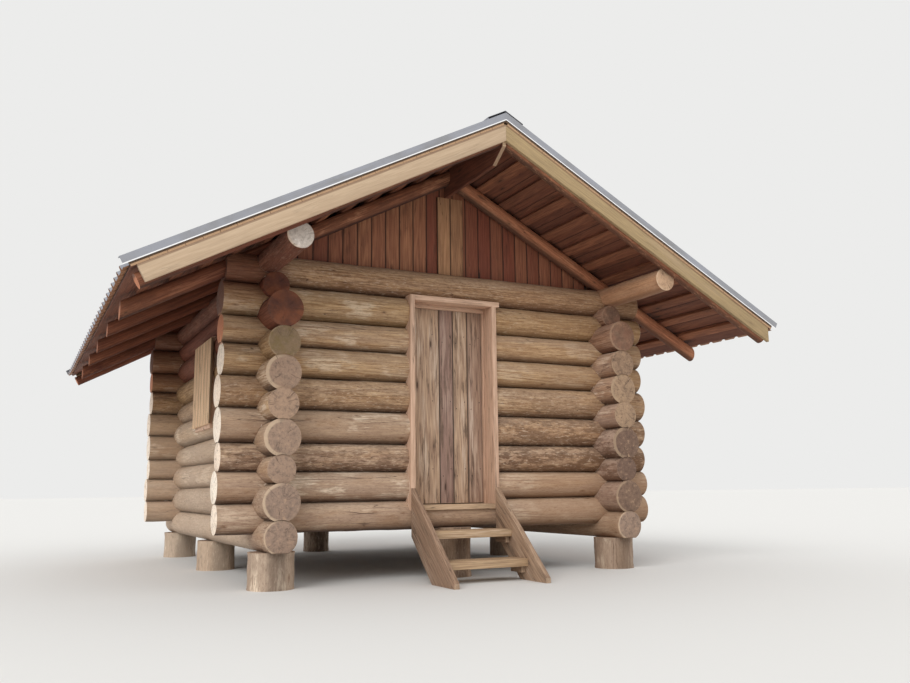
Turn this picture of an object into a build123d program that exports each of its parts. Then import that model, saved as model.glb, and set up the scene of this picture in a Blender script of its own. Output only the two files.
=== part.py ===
"""Log cabin on stump piers, with saddle-notched corners, a plank door and a metal roof.

X runs to the right along the front wall, Y from the front wall to the rear wall, Z up.
The origin is on level ground, midway between the four walls. Sizes are in millimetres.
"""
from build123d import *
from dataclasses import dataclass
import math
import os

# Walls: log axes, courses and how far the logs run past the corners.
# Each course: height of the axis above the pier tops, and the log's radius at its ends
WALL_X = 1840.0
WALL_Y = 2150.0
SIDE_END = 424.0
FRONT_END = 476.0
END_STEP = 12.0
FIT_GAP = 0.3
SEAT_RUN_OUT = 15.0
SIDE_COURSES = (
    (130.0, 150.0, 150.0),
    (423.0, 165.0, 152.0),
    (706.0, 127.0, 160.0),
    (977.0, 165.0, 130.0),
    (1270.0, 138.0, 172.0),
    (1547.0, 160.0, 130.0),
    (1817.0, 145.0, 160.0),
    (2115.0, 162.0, 150.0),
    (2370.0, 122.0, 122.0),
)
FRONT_COURSES = (
    (283.0, 140.0),
    (555.0, 139.0),
    (821.0, 136.0),
    (1102.0, 155.0),
    (1403.0, 155.0),
    (1693.0, 144.0),
    (1966.0, 139.0),
    (2248.0, 153.0),
    (2545.0, 148.0),
)
FRONT_TAPER = 6.0
TOP_SIDE_OUT = 30.0
TOP_SIDE_END = 220.0
HEADER_END = 460.0
THIN_REST = 50.0

# Plate logs that carry the rafters, out from the wall axis and let into the logs below
PLATE_OUT = 71.0
PLATE_R = 115.0
PLATE_END = 1085.0
PLATE_SCRIBE = 7.0
PLATE_SEAT_DROP = 15.0

# Piers; the corner ones stand out from the end walls
PIER_TOP = 315.0
PIER_R = 205.0
PIER_OUT = 130.0
SILL_PIER_R = 180.0
SILL_FLAT = 12.0

# Floor: height above the pier tops, and edges in from the wall axes
FLOOR_UP = 325.0
BOARD_T = 25.0
JOIST_W = 38.0
JOIST_H = 140.0
JOIST_COUNT = 7
JOIST_IN_X = 65.0
JOIST_IN_Y = 180.0
FLOOR_IN_X = 155.0
FLOOR_WALL_GAP = 5.0
FLOOR_BOARDS = 24
FLOOR_GAP = 3.4

# Doorway: planks on edge, with the opening between them; the log courses are stretched to put the
# header log's axis this far above the head plank
PLANK_T = 50.0
DOOR_LEFT = -472.0
DOOR_RIGHT = 392.0
DOOR_H = 1992.0
JAMB_FRONT = 170.0
JAMB_BACK = 117.0
THRESHOLD_BACK = 150.0
STOP_T = 16.0
STOP_W = 38.0
STOP_FRONT = 10.0
HEAD_STOP_H = 38.0
HEAD_LAP = 40.0
HEADER_UP = 128.0

# Door leaf; hinge heights above the threshold and below the head
LEAF_GAP = 6.0
LEAF_FOOT_GAP = 8.0
LEAF_FRONT = 54.0
LEAF_T = 35.0
LEDGE_T = 28.0
LEDGE_H = 150.0
LEDGE_INSET = 15.0
DOOR_BOARD_SHARES = (0.425, 0.605, 0.80)
DOOR_BOARD_GAP = 2.0
HINGE_FOOT_UP = 310.0
HINGE_HEAD_DOWN = 332.0
HINGE_PIN_R = 4.0
HINGE_PIN_END = 3.0
HINGE_KNUCKLE_R = 8.0
HINGE_RUNNING_GAP = 0.06
HINGE_SIDE_GAP = 1.0
HINGE_LEAF_T = 4.0
STRAP_L = 560.0
STRAP_H = 28.0
KNUCKLE_H = 30.0

# Windows in the side walls, closed by a board shutter that laps over the opening
WINDOW_Y = 125.0
WINDOW_HALF_Y = 425.0
WINDOW_HEAD_DROP = 147.0
WINDOW_H = 1010.0
WINDOW_OUT = 175.0
WINDOW_IN = 115.0
SILL_PLANK_T = 50.0
SHUTTER_LAP = 50.0
SHUTTER_FOOT_UP = 45.0
SHUTTER_TOP_DROP = 20.0
SHUTTER_T = 25.0
SHUTTER_BOARDS = 6
SHUTTER_GAP = 2.0
SHUTTER_LEDGE_W = 120.0
SHUTTER_LEDGE_IN = 100.0

# Roof: its plane runs through the top edge of the gable boards
ROOF_ANGLE = 27.97
EAVE_OUT = 1271.0
GABLE_OUT = 1202.0
FASCIA_T = 38.0
FASCIA_H = 140.0
PURLIN_T = 38.0
PURLIN_W = 100.0
PURLIN_PITCH = 300.0
PURLIN_START = 70.0
RAFTER_R = 63.0
WALL_RAFTER_R = 75.0
RAFTER_FLAT = 3.0
RAFTER_NOTCH = 50.0
RAFTER_TAIL = 40.0
RAFTER_PLUMB_IN = 10.0
RAFTER_BAYS = 4
DECK_T = 20.0
DECK_TAIL = 45.0
RIB_H = 38.0
RIB_BASE = 70.0
RIB_TOP = 30.0
RIB_PITCH = 200.0
SHEET_T = 0.6
SHEET_TAIL = 92.0
SHEET_RIDGE_GAP = 8.0
RAKE_W = 38.0
RAKE_H = 80.0
FLASH_T = 0.6
FLASH_FOOT = 34.0
FLASH_OUT = 10.0
FLASH_TOP_W = 60.0
CAP_WING = 150.0
CAP_RISE = 20.0

# Ridge beam
RIDGE_T = 38.0
RIDGE_H = 286.0
RIDGE_DROP = 41.0
RIDGE_SLANT_BACK = 193.0
RIDGE_SLANT_RISE = 126.0

# Gable walls, with two boards nailed over them under the ridge beam
GABLE_BOARD_T = 19.0
GABLE_BOARDS = 23
GABLE_BOARD_GAP = 2.0
GABLE_EDGE_GAP = 52.0
GABLE_FOOT_UP = 30.0
GABLE_RAFTER_GAP = 1.0
COVER_BOARD_T = 22.0
COVER_LEFT = -110.0
COVER_RIGHT = 190.0

# Steps; stringer height above the threshold, treads as height and nose before the wall axis
STRINGER_UP = 160.0
STRINGER_DEPTH = 450.0
STRINGER_FRONT = 1060.0
STRINGER_NOSE = 45.0
TREAD_T = 70.0
TREAD_D = 275.0
TREADS = ((198.0, 760.0), (455.0, 480.0))
CLEAT_W = 38.0
CLEAT_H = 60.0
CLEAT_BACK = 20.0

# Worked out from the sizes above
SLOPE = math.radians(ROOF_ANGLE)
FLOOR_TOP = PIER_TOP + FLOOR_UP
THRESHOLD_TOP = FLOOR_TOP + PLANK_T
DOOR_HEAD = THRESHOLD_TOP + DOOR_H
HEAD_TOP = DOOR_HEAD + PLANK_T
WALL_STRETCH = (HEAD_TOP + HEADER_UP - PIER_TOP) / FRONT_COURSES[-1][0]
SIDE_LOGS = [[size * WALL_STRETCH for size in course] for course in SIDE_COURSES]
FRONT_LOGS = [[size * WALL_STRETCH for size in course] for course in FRONT_COURSES]
HEADER_Z = PIER_TOP + FRONT_LOGS[-1][0]
PLATE_X = WALL_X + PLATE_OUT
PLATE_Z = PIER_TOP + SIDE_LOGS[-1][0] + SIDE_LOGS[-1][1] + PLATE_R - PLATE_SCRIBE
PLATE_SEAT = PLATE_Z - PLATE_SEAT_DROP
SILL_PIER_TOP = PIER_TOP + FRONT_LOGS[0][0] - FRONT_LOGS[0][1] + SILL_FLAT
ROUGH_LEFT = DOOR_LEFT - PLANK_T - FIT_GAP
ROUGH_RIGHT = DOOR_RIGHT + PLANK_T + FIT_GAP
WINDOW_TOP = DOOR_HEAD - WINDOW_HEAD_DROP
WINDOW_FOOT = WINDOW_TOP - WINDOW_H
RAFTER_AXIS_T = RAFTER_FLAT - PURLIN_T - RAFTER_R
ROOF_OVER_PLATE = PLATE_R + RAFTER_R - RAFTER_NOTCH - RAFTER_AXIS_T
ROOF_PEAK = PLATE_Z + PLATE_X * math.tan(SLOPE) + ROOF_OVER_PLATE / math.cos(SLOPE)
ROOF_HALF_X = PLATE_X + EAVE_OUT
EAVE_U = ROOF_HALF_X / math.cos(SLOPE)
GABLE_Y = WALL_Y + GABLE_OUT
GABLE_HALF_X = PLATE_X - PLATE_R - GABLE_EDGE_GAP
RIDGE_TOP = ROOF_PEAK - RIDGE_DROP
RIDGE_FOOT = RIDGE_TOP - RIDGE_H
FAR = 20000.0


def block(x0, x1, y0, y1, z0, z1):
    """Box between two corners."""
    size = Box(abs(x1 - x0), abs(y1 - y0), abs(z1 - z0))
    return Pos((x0 + x1) / 2, (y0 + y1) / 2, (z0 + z1) / 2) * size


def pieces(shape):
    """The solids of a shape, from left to right and front to back."""
    return sorted(shape.solids(), key=lambda s: (round(s.center().X), round(s.center().Y), s.center().Z))


def to_other_side(shapes):
    """The same pieces on the other side of the building."""
    return [mirror(shape, about=Plane.YZ) for shape in shapes]


def to_rear(shapes):
    """The same pieces at the rear of the building."""
    return [mirror(shape, about=Plane.XZ) for shape in shapes]


@dataclass(frozen=True)
class Log:
    """A peeled tree trunk lying level, slightly thicker at its butt."""

    along: str
    across: float
    z: float
    start: float
    end: float
    r_start: float
    r_end: float

    def body(self, grow=0.0, longer=0.0):
        """The log as a cone, or a larger copy of it that cuts a scribed seat."""
        length = self.end - self.start
        rise = (self.r_end - self.r_start) / length
        first = self.r_start + grow - rise * longer
        last = self.r_end + grow + rise * longer
        if self.along == "x":
            plane = Plane((self.start - longer, self.across, self.z), x_dir=(0, 1, 0), z_dir=(1, 0, 0))
        else:
            plane = Plane((self.across, self.start - longer, self.z), x_dir=(0, 0, 1), z_dir=(0, 1, 0))
        height = length + 2 * longer
        if abs(first - last) < 0.01:
            return Solid.make_cylinder(first, height, plane)
        return Solid.make_cone(first, last, height, plane)

    def seat(self):
        """What a log that lies on this one is scribed to."""
        return self.body(grow=FIT_GAP, longer=SEAT_RUN_OUT)


def end_step(index):
    """Small steps between the log ends, as axe and saw leave them."""
    return END_STEP * math.sin(2.1 * index)


def side_log(side, index):
    """One log of a side wall, butt and top laid alternately."""
    z, r_front, r_rear = SIDE_LOGS[index]
    top_course = index == len(SIDE_LOGS) - 1
    across = WALL_X + (TOP_SIDE_OUT if top_course else 0)
    reach = WALL_Y + (TOP_SIDE_END if top_course else SIDE_END + end_step(index))
    return Log("y", side * across, PIER_TOP + z, -reach, reach, r_front, r_rear)


def front_log(face, index):
    """One log of the front or rear wall."""
    z, radius = FRONT_LOGS[index]
    header = index == len(FRONT_LOGS) - 1
    taper = FRONT_TAPER if index % 2 else -FRONT_TAPER
    reach = WALL_X + (HEADER_END if header else FRONT_END + end_step(index + 3))
    return Log("x", face * WALL_Y, PIER_TOP + z, -reach, reach, radius + taper, radius - taper)


def plate_log(side):
    """The log on top of a side wall that carries the rafters."""
    reach = WALL_Y + PLATE_END
    return Log("y", side * PLATE_X, PLATE_Z, -reach, reach, PLATE_R, PLATE_R)


def joist_boxes(grow=0.0):
    """Floor joists, or the pockets for their ends."""
    boxes = []
    last = WALL_Y - JOIST_IN_Y
    for index in range(JOIST_COUNT):
        y = -last + 2 * last * index / (JOIST_COUNT - 1)
        half = JOIST_W / 2 + grow
        foot = FLOOR_TOP - BOARD_T - JOIST_H - grow
        reach = WALL_X - JOIST_IN_X + grow
        boxes.append(block(-reach, reach, y - half, y + half, foot, FLOOR_TOP - BOARD_T + grow))
    return boxes


def cut_range(log, foot, top):
    """Heights between which a log is cut for an opening, with no thin rest left under or over it."""
    radius = max(log.r_start, log.r_end)
    low = log.z - radius
    high = log.z + radius
    if high < foot or low > top:
        return None
    cut_foot = foot - THIN_REST if foot - THIN_REST < low else foot
    cut_top = top + THIN_REST if top + THIN_REST > high else top
    return cut_foot, cut_top


def window_cuts(log):
    """Box that opens a side wall's log for the window frame."""
    heights = cut_range(log, WINDOW_FOOT, WINDOW_TOP)
    half = WINDOW_HALF_Y + FIT_GAP
    return [block(-FAR / 4, FAR / 4, WINDOW_Y - half, WINDOW_Y + half, *heights)] if heights else []


def door_cuts(log):
    """Boxes that open the front wall's log for the door planks, and for the end of the head plank."""
    heights = cut_range(log, FLOOR_TOP, HEAD_TOP + FIT_GAP)
    if not heights:
        return []
    lap = ROUGH_RIGHT + HEAD_LAP
    return [
        block(ROUGH_LEFT, ROUGH_RIGHT, -FAR / 4, 0, *heights),
        block(ROUGH_RIGHT, lap, -FAR / 4, 0, DOOR_HEAD - FIT_GAP, HEAD_TOP + FIT_GAP),
    ]


def side_wall(side):
    """Solids of a side wall, from the sill log up."""
    courses = []
    for index in range(len(SIDE_LOGS)):
        log = side_log(side, index)
        cuts = []
        if index > 0:
            cuts.append(side_log(side, index - 1).seat())
            cuts += [front_log(face, index - 1).seat() for face in (-1, 1)]
        if index == 0:
            cuts.append(block(-FAR / 4, FAR / 4, -FAR / 4, FAR / 4, 0, PIER_TOP))
        if index < 2:
            cuts += joist_boxes(FIT_GAP)
        cuts += window_cuts(log)
        courses.append(pieces(log.body().cut(*cuts)))
    return courses


def end_wall(face):
    """Solids of the front (-1) or rear (+1) wall, from the sill log up."""
    courses = []
    last = len(FRONT_LOGS) - 1
    for index in range(len(FRONT_LOGS)):
        log = front_log(face, index)
        cuts = [side_log(side, index).seat() for side in (-1, 1)]
        if index > 0:
            cuts.append(front_log(face, index - 1).seat())
        if index == 0:
            cuts.append(block(-SILL_PIER_R, SILL_PIER_R, -FAR / 4, FAR / 4, 0, SILL_PIER_TOP))
        cuts += door_cuts(log)
        if index == last:
            cuts += plate_seats()
            cuts += [rafter_body(side, face * WALL_Y, WALL_RAFTER_R, FIT_GAP) for side in (-1, 1)]
            cuts += [over_rafters(side) for side in (-1, 1)]
        courses.append(pieces(log.body().cut(*cuts)))
    return courses


def plate_seats():
    """Flat-bottomed notches in the header logs that the plate logs drop into."""
    half = PLATE_R + FIT_GAP
    return [
        block(side * PLATE_X - half, side * PLATE_X + half, -FAR / 4, FAR / 4, PLATE_SEAT, FAR / 4)
        for side in (-1, 1)
    ]


def plate(side):
    """Plate log, flattened underneath where it sits on the header logs."""
    half = FRONT_LOGS[-1][1] + FRONT_TAPER + FIT_GAP
    cuts = [side_log(side, len(SIDE_LOGS) - 1).seat()]
    for face in (-1, 1):
        y = face * WALL_Y
        cuts.append(block(-FAR / 4, FAR / 4, y - half, y + half, 0, PLATE_SEAT + FIT_GAP))
    return pieces(plate_log(side).body().cut(*cuts))


def piers():
    """Log stumps under the corners, and midway under each wall."""
    corner = [
        Pos(sx * WALL_X, sy * (WALL_Y + PIER_OUT), PIER_TOP / 2) * Cylinder(PIER_R, PIER_TOP)
        for sx in (-1, 1)
        for sy in (-1, 1)
    ]
    middle = [Pos(sx * WALL_X, 0, PIER_TOP / 2) * Cylinder(PIER_R, PIER_TOP) for sx in (-1, 1)]
    middle += [
        Pos(0, sy * WALL_Y, SILL_PIER_TOP / 2) * Cylinder(SILL_PIER_R, SILL_PIER_TOP)
        for sy in (-1, 1)
    ]
    return corner, middle


def floor_boards():
    """Boards across the joists, with narrow gaps."""
    half_x = WALL_X - FLOOR_IN_X
    half_y = WALL_Y - FRONT_LOGS[0][1] - FRONT_TAPER - FLOOR_WALL_GAP
    pitch = 2 * half_x / FLOOR_BOARDS
    boards = []
    for index in range(FLOOR_BOARDS):
        x = -half_x + index * pitch
        boards.append(block(x, x + pitch - FLOOR_GAP, -half_y, half_y, FLOOR_TOP - BOARD_T, FLOOR_TOP))
    return boards


def door_frame():
    """Jambs and head plank with their stops, and the threshold board."""
    front = -WALL_Y - JAMB_FRONT
    back = -WALL_Y + JAMB_BACK
    jambs = [
        block(DOOR_LEFT - PLANK_T, DOOR_LEFT, front, back, FLOOR_TOP, HEAD_TOP),
        block(DOOR_RIGHT, DOOR_RIGHT + PLANK_T, front, back, FLOOR_TOP, DOOR_HEAD),
    ]
    stop_y = -WALL_Y + STOP_FRONT
    stop_top = DOOR_HEAD - HEAD_STOP_H
    head = [
        block(DOOR_LEFT, DOOR_RIGHT + PLANK_T + HEAD_LAP, front, back, DOOR_HEAD, HEAD_TOP),
        block(DOOR_LEFT, DOOR_RIGHT, stop_y, stop_y + STOP_W, stop_top, DOOR_HEAD - FIT_GAP),
    ]
    jambs += [
        block(DOOR_LEFT + FIT_GAP, DOOR_LEFT + STOP_T, stop_y, stop_y + STOP_W, THRESHOLD_TOP, stop_top),
        block(DOOR_RIGHT - STOP_T, DOOR_RIGHT - FIT_GAP, stop_y, stop_y + STOP_W, THRESHOLD_TOP, stop_top),
    ]
    inner = -WALL_Y + THRESHOLD_BACK
    threshold = block(DOOR_LEFT, DOOR_RIGHT, front, back, FLOOR_TOP, THRESHOLD_TOP)
    threshold += block(DOOR_LEFT - PLANK_T, DOOR_RIGHT + PLANK_T, back, inner, FLOOR_TOP, THRESHOLD_TOP)
    return jambs, head, [threshold]


def hinge_heights():
    """Middle heights of the two hinges."""
    return [THRESHOLD_TOP + HINGE_FOOT_UP, DOOR_HEAD - HINGE_HEAD_DOWN]


def door_leaf():
    """Vertical boards and the ledges that hold them together on the inside."""
    left = DOOR_LEFT + LEAF_GAP
    right = DOOR_RIGHT - LEAF_GAP
    foot = THRESHOLD_TOP + LEAF_FOOT_GAP
    top = DOOR_HEAD - LEAF_FOOT_GAP
    front = -WALL_Y + LEAF_FRONT
    joints = [left + share * (right - left) for share in DOOR_BOARD_SHARES]
    edges = [left] + joints + [right + DOOR_BOARD_GAP]
    boards = [
        block(start, stop - DOOR_BOARD_GAP, front, front + LEAF_T, foot, top)
        for start, stop in zip(edges, edges[1:])
    ]
    back = front + LEAF_T
    lower, upper = hinge_heights()
    ledges = [
        block(left + LEDGE_INSET, right - LEDGE_INSET, back, back + LEDGE_T, z - LEDGE_H / 2, z + LEDGE_H / 2)
        for z in (lower, (lower + upper) / 2, upper)
    ]
    return boards, ledges


def hinge_axis():
    """Where the hinge pins stand, seen from above."""
    x = DOOR_LEFT + LEAF_GAP / 2
    y = -WALL_Y + JAMB_BACK + HINGE_KNUCKLE_R
    return x, y


def hinges():
    """Fixed plates with their pins, and the straps that turn on them."""
    x, y = hinge_axis()
    face = -WALL_Y + JAMB_BACK
    fixed = []
    straps = []
    for z in hinge_heights():
        inner = STRAP_H / 2 + HINGE_SIDE_GAP
        outer = inner + KNUCKLE_H
        half = STRAP_H / 2
        plate_piece = block(DOOR_LEFT - PLANK_T, x, face, face + HINGE_LEAF_T, z - outer, z + outer)
        plate_piece -= block(x - 1.5 * HINGE_KNUCKLE_R, FAR / 4, -FAR / 4, FAR / 4, z - inner, z + inner)
        knuckles = [
            Pos(x, y, z + way * (inner + KNUCKLE_H / 2)) * Cylinder(HINGE_KNUCKLE_R, KNUCKLE_H)
            for way in (-1, 1)
        ]
        pin = Pos(x, y, z) * Cylinder(HINGE_PIN_R, 2 * (outer + HINGE_PIN_END))
        fixed.append(plate_piece + knuckles[0] + knuckles[1] + pin)
        strap = block(x, x + STRAP_L, face, face + HINGE_LEAF_T, z - half, z + half)
        strap += Pos(x, y, z) * Cylinder(HINGE_KNUCKLE_R, STRAP_H)
        strap -= Pos(x, y, z) * Cylinder(HINGE_PIN_R + HINGE_RUNNING_GAP, STRAP_H + 2)
        straps.append(strap)
    return fixed, straps


def window(side):
    """Plank frame through a side wall, and the board shutter that closes it."""
    x_out = side * (WALL_X + WINDOW_OUT)
    x_in = side * (WALL_X - WINDOW_IN)
    y0 = WINDOW_Y - WINDOW_HALF_Y
    y1 = WINDOW_Y + WINDOW_HALF_Y
    sill_top = WINDOW_FOOT + SILL_PLANK_T
    head_foot = WINDOW_TOP - PLANK_T
    frame = [
        block(x_out, x_in, y0, y1, WINDOW_FOOT, sill_top),
        block(x_out, x_in, y0, y1, head_foot, WINDOW_TOP),
        block(x_out, x_in, y0, y0 + PLANK_T, sill_top, head_foot),
        block(x_out, x_in, y1 - PLANK_T, y1, sill_top, head_foot),
    ]
    shutter_y = y0 - SHUTTER_LAP
    pitch = (y1 + SHUTTER_LAP - shutter_y) / SHUTTER_BOARDS
    foot = WINDOW_FOOT + SHUTTER_FOOT_UP
    top = WINDOW_TOP - SHUTTER_TOP_DROP
    shutter = []
    for index in range(SHUTTER_BOARDS):
        y = shutter_y + index * pitch
        shutter.append(block(x_out, x_out + side * SHUTTER_T, y, y + pitch - SHUTTER_GAP, foot, top))
    ledge_y0 = y0 + PLANK_T + LEAF_GAP
    ledge_y1 = y1 - PLANK_T - LEAF_GAP
    for z in (sill_top + SHUTTER_LEDGE_IN, head_foot - SHUTTER_LEDGE_IN - SHUTTER_LEDGE_W):
        shutter.append(block(x_out, x_out - side * SHUTTER_T, ledge_y0, ledge_y1, z, z + SHUTTER_LEDGE_W))
    return frame, shutter


def slope_plane():
    """Plane of the right roof slope: X down the slope, Y to the rear, Z out of the roof."""
    return Plane(
        (0, 0, ROOF_PEAK),
        x_dir=(math.cos(SLOPE), 0, -math.sin(SLOPE)),
        z_dir=(math.sin(SLOPE), 0, math.cos(SLOPE)),
    )


def slope_block(u0, u1, y0, y1, t0, t1):
    """Box on the right roof slope, cut plumb at the ridge, where it starts if u0 is 0."""
    start = u0 if u0 > 0 else -2 * abs(t1) - 2 * FASCIA_H
    shape = slope_plane().location * block(start, u1, y0, y1, t0, t1)
    return shape - block(-FAR / 4, FIT_GAP / 2, -FAR / 4, FAR / 4, 0, FAR)


def over_rafters(side):
    """All the space over the rafters' flat tops on one slope."""
    space = slope_plane().location * block(0, FAR / 4, -FAR / 4, FAR / 4, -PURLIN_T, FAR / 4)
    return space if side > 0 else mirror(space, about=Plane.YZ)


def rafter_body(side, y, radius, grow=0.0):
    """One pole rafter with a flat top, from the ridge beam to somewhat past its tail."""
    start = slope_plane().location * Pos(0, y, RAFTER_FLAT - PURLIN_T - radius) * Rot(0, 90, 0)
    length = EAVE_U + RAFTER_TAIL + 2 * radius
    pole = start * Cylinder(radius + grow, length, align=(Align.CENTER, Align.CENTER, Align.MIN))
    pole -= slope_plane().location * block(-FAR / 4, FAR / 4, -FAR / 4, FAR / 4, -PURLIN_T + grow, FAR / 4)
    pole -= block(-FAR / 4, RIDGE_T / 2 + FIT_GAP - grow, -FAR / 4, FAR / 4, 0, FAR)
    return pole if side > 0 else mirror(pole, about=Plane.YZ)


def rafters():
    """Rafters of the right slope, notched over the plate log.

    The fly rafters behind the gable boards are cut square; the others are cut plumb, and those over
    the end walls are thicker.
    """
    seat = plate_log(1).seat()
    beyond_tail = block(EAVE_U + RAFTER_TAIL, FAR / 4, -FAR / 4, FAR / 4, -FAR / 4, FAR / 4)
    square = slope_plane().location * beyond_tail
    plumb = block(ROOF_HALF_X - RAFTER_PLUMB_IN, FAR / 4, -FAR / 4, FAR / 4, 0, FAR)
    fly = GABLE_Y - FASCIA_T - RAFTER_R - FIT_GAP
    poles = [(rafter_body(1, y, RAFTER_R) - seat - square).solids()[0] for y in (-fly, fly)]
    for index in range(RAFTER_BAYS + 1):
        y = -WALL_Y + 2 * WALL_Y * index / RAFTER_BAYS
        radius = WALL_RAFTER_R if index in (0, RAFTER_BAYS) else RAFTER_R
        poles.append((rafter_body(1, y, radius) - seat - plumb).solids()[0])
    return poles


def purlins():
    """Flat battens along the right slope."""
    reach = GABLE_Y - FASCIA_T - FIT_GAP
    count = 1 + int((EAVE_U - PURLIN_START - PURLIN_W) // PURLIN_PITCH)
    return [
        slope_block(u, u + PURLIN_W, -reach, reach, -PURLIN_T + FIT_GAP, 0)
        for u in (PURLIN_START + PURLIN_PITCH * index for index in range(count))
    ]


def fascia():
    """Front gable boards: the right one's lower end is cut plumb, the left one's square."""
    board = slope_block(0, EAVE_U + FASCIA_H, -GABLE_Y, -GABLE_Y + FASCIA_T, -FASCIA_H, 0)
    right = board - block(ROOF_HALF_X, FAR / 4, -FAR / 4, FAR / 4, 0, FAR)
    square = slope_block(0, EAVE_U, -GABLE_Y, -GABLE_Y + FASCIA_T, -FASCIA_H, 0)
    return [right] + to_other_side([square])


def roof_deck():
    """Boarding over the battens of the right slope."""
    return slope_block(0, EAVE_U + DECK_TAIL, -GABLE_Y, GABLE_Y, FIT_GAP, DECK_T)


def sheet_profile():
    """Closed outline of the ribbed sheet: along the ridge, and out of the roof."""
    reach = GABLE_Y - RAKE_W - FIT_GAP
    ribs = int(reach // RIB_PITCH)
    upper = [(-reach, 0.0)]
    for index in range(-ribs, ribs + 1):
        y = index * RIB_PITCH
        if abs(y) + RIB_BASE / 2 > reach:
            continue
        upper += [(y - RIB_BASE / 2, 0.0), (y - RIB_TOP / 2, RIB_H)]
        upper += [(y + RIB_TOP / 2, RIB_H), (y + RIB_BASE / 2, 0.0)]
    upper.append((reach, 0.0))
    return upper + [(y, t - SHEET_T) for y, t in reversed(upper)]


def roof_sheet():
    """Ribbed metal over the right slope."""
    base = DECK_T + FIT_GAP + SHEET_T
    start = slope_plane().location * Pos(0, 0, base)
    across = Plane(origin=(0, 0, 0), x_dir=(0, 1, 0), z_dir=(1, 0, 0))
    outline = across * Polyline(*sheet_profile(), close=True)
    sheet = extrude(make_face(outline), amount=EAVE_U + SHEET_TAIL, dir=(1, 0, 0))
    return start * sheet - block(-FAR / 4, SHEET_RIDGE_GAP, -FAR / 4, FAR / 4, 0, FAR)


def rakes():
    """Raised strips along the gable edges, and the metal over them with a drip edge that stands proud."""
    top = DECK_T + RAKE_H
    strips = []
    covers = []
    for face in (-1, 1):
        outer = face * GABLE_Y
        inner = outer - face * RAKE_W
        strips.append(slope_block(0, EAVE_U + DECK_TAIL, outer, inner, DECK_T + FIT_GAP, top))
        end = EAVE_U + SHEET_TAIL
        drip = outer + face * (FLASH_OUT + FLASH_T)
        leg = slope_block(0, end, drip, drip - face * FLASH_T, FLASH_FOOT, top + FLASH_T)
        lid = slope_block(0, end, drip, outer - face * FLASH_TOP_W, top, top + FLASH_T)
        covers.append((leg + lid).solids()[0])
    return strips, covers


def ridge_cap():
    """Folded metal strip over the ridge, its edges turned down onto the edge metal and the ribs."""
    foot = DECK_T + RAKE_H + FLASH_T + FIT_GAP
    rib_top = DECK_T + SHEET_T + RIB_H + 2 * FIT_GAP
    top = foot + CAP_RISE
    reach = GABLE_Y - FLASH_TOP_W - FIT_GAP
    edge = CAP_WING - FLASH_T
    plane = slope_plane().location
    wing = plane * block(-CAP_WING, CAP_WING, -GABLE_Y, GABLE_Y, top, top + FLASH_T)
    wing += plane * block(edge, CAP_WING, -GABLE_Y, GABLE_Y, foot, top)
    wing += plane * block(edge, CAP_WING, -reach, reach, rib_top, foot)
    wing -= block(-FAR / 4, 0, -FAR / 4, FAR / 4, 0, FAR)
    return wing + mirror(wing, about=Plane.YZ)


def ridge_beam():
    """Deep plank under the ridge, its ends cut back at a slant."""
    reach = GABLE_Y - FASCIA_T - FIT_GAP
    outline = [
        (-reach, RIDGE_TOP),
        (-reach, RIDGE_FOOT + RIDGE_SLANT_RISE),
        (-reach + RIDGE_SLANT_BACK, RIDGE_FOOT),
        (reach - RIDGE_SLANT_BACK, RIDGE_FOOT),
        (reach, RIDGE_FOOT + RIDGE_SLANT_RISE),
        (reach, RIDGE_TOP),
    ]
    side = Plane(origin=(-RIDGE_T / 2, 0, 0), x_dir=(0, 1, 0), z_dir=(1, 0, 0))
    return extrude(make_face(side * Polyline(*outline, close=True)), amount=RIDGE_T, dir=(1, 0, 0))


def gable_boards():
    """Vertical boards that close the front gable, and the two over them under the ridge beam."""
    front = -WALL_Y + WALL_RAFTER_R + GABLE_RAFTER_GAP
    under = ROOF_PEAK - (PURLIN_T + FIT_GAP) / math.cos(SLOPE)
    shoulder = under - GABLE_HALF_X * math.tan(SLOPE)
    foot = HEADER_Z + GABLE_FOOT_UP
    outline = [
        (-GABLE_HALF_X, foot),
        (GABLE_HALF_X, foot),
        (GABLE_HALF_X, shoulder),
        (0, under),
        (-GABLE_HALF_X, shoulder),
    ]
    wall = Plane(origin=(0, front + GABLE_BOARD_T, 0), x_dir=(1, 0, 0), z_dir=(0, -1, 0))
    panel = extrude(make_face(wall * Polyline(*outline, close=True)), amount=GABLE_BOARD_T, dir=(0, -1, 0))
    half_slot = RIDGE_T / 2 + FIT_GAP
    slot = block(-half_slot, half_slot, -FAR / 4, 0, RIDGE_FOOT - FIT_GAP, FAR / 4)
    header = front_log(-1, len(FRONT_LOGS) - 1).seat()
    panel = panel - header - slot
    pitch = 2 * GABLE_HALF_X / GABLE_BOARDS
    boards = []
    for index in range(GABLE_BOARDS):
        x = -GABLE_HALF_X + index * pitch
        strip = block(x, x + pitch - GABLE_BOARD_GAP, -FAR / 4, 0, 0, FAR / 4)
        boards += pieces(panel & strip)
    middle = (COVER_LEFT + COVER_RIGHT) / 2
    covers = [
        block(x0, x1 - GABLE_BOARD_GAP, front - COVER_BOARD_T, front, foot, RIDGE_FOOT - FIT_GAP) - header
        for x0, x1 in ((COVER_LEFT, middle), (middle, COVER_RIGHT))
    ]
    return boards, covers


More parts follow.
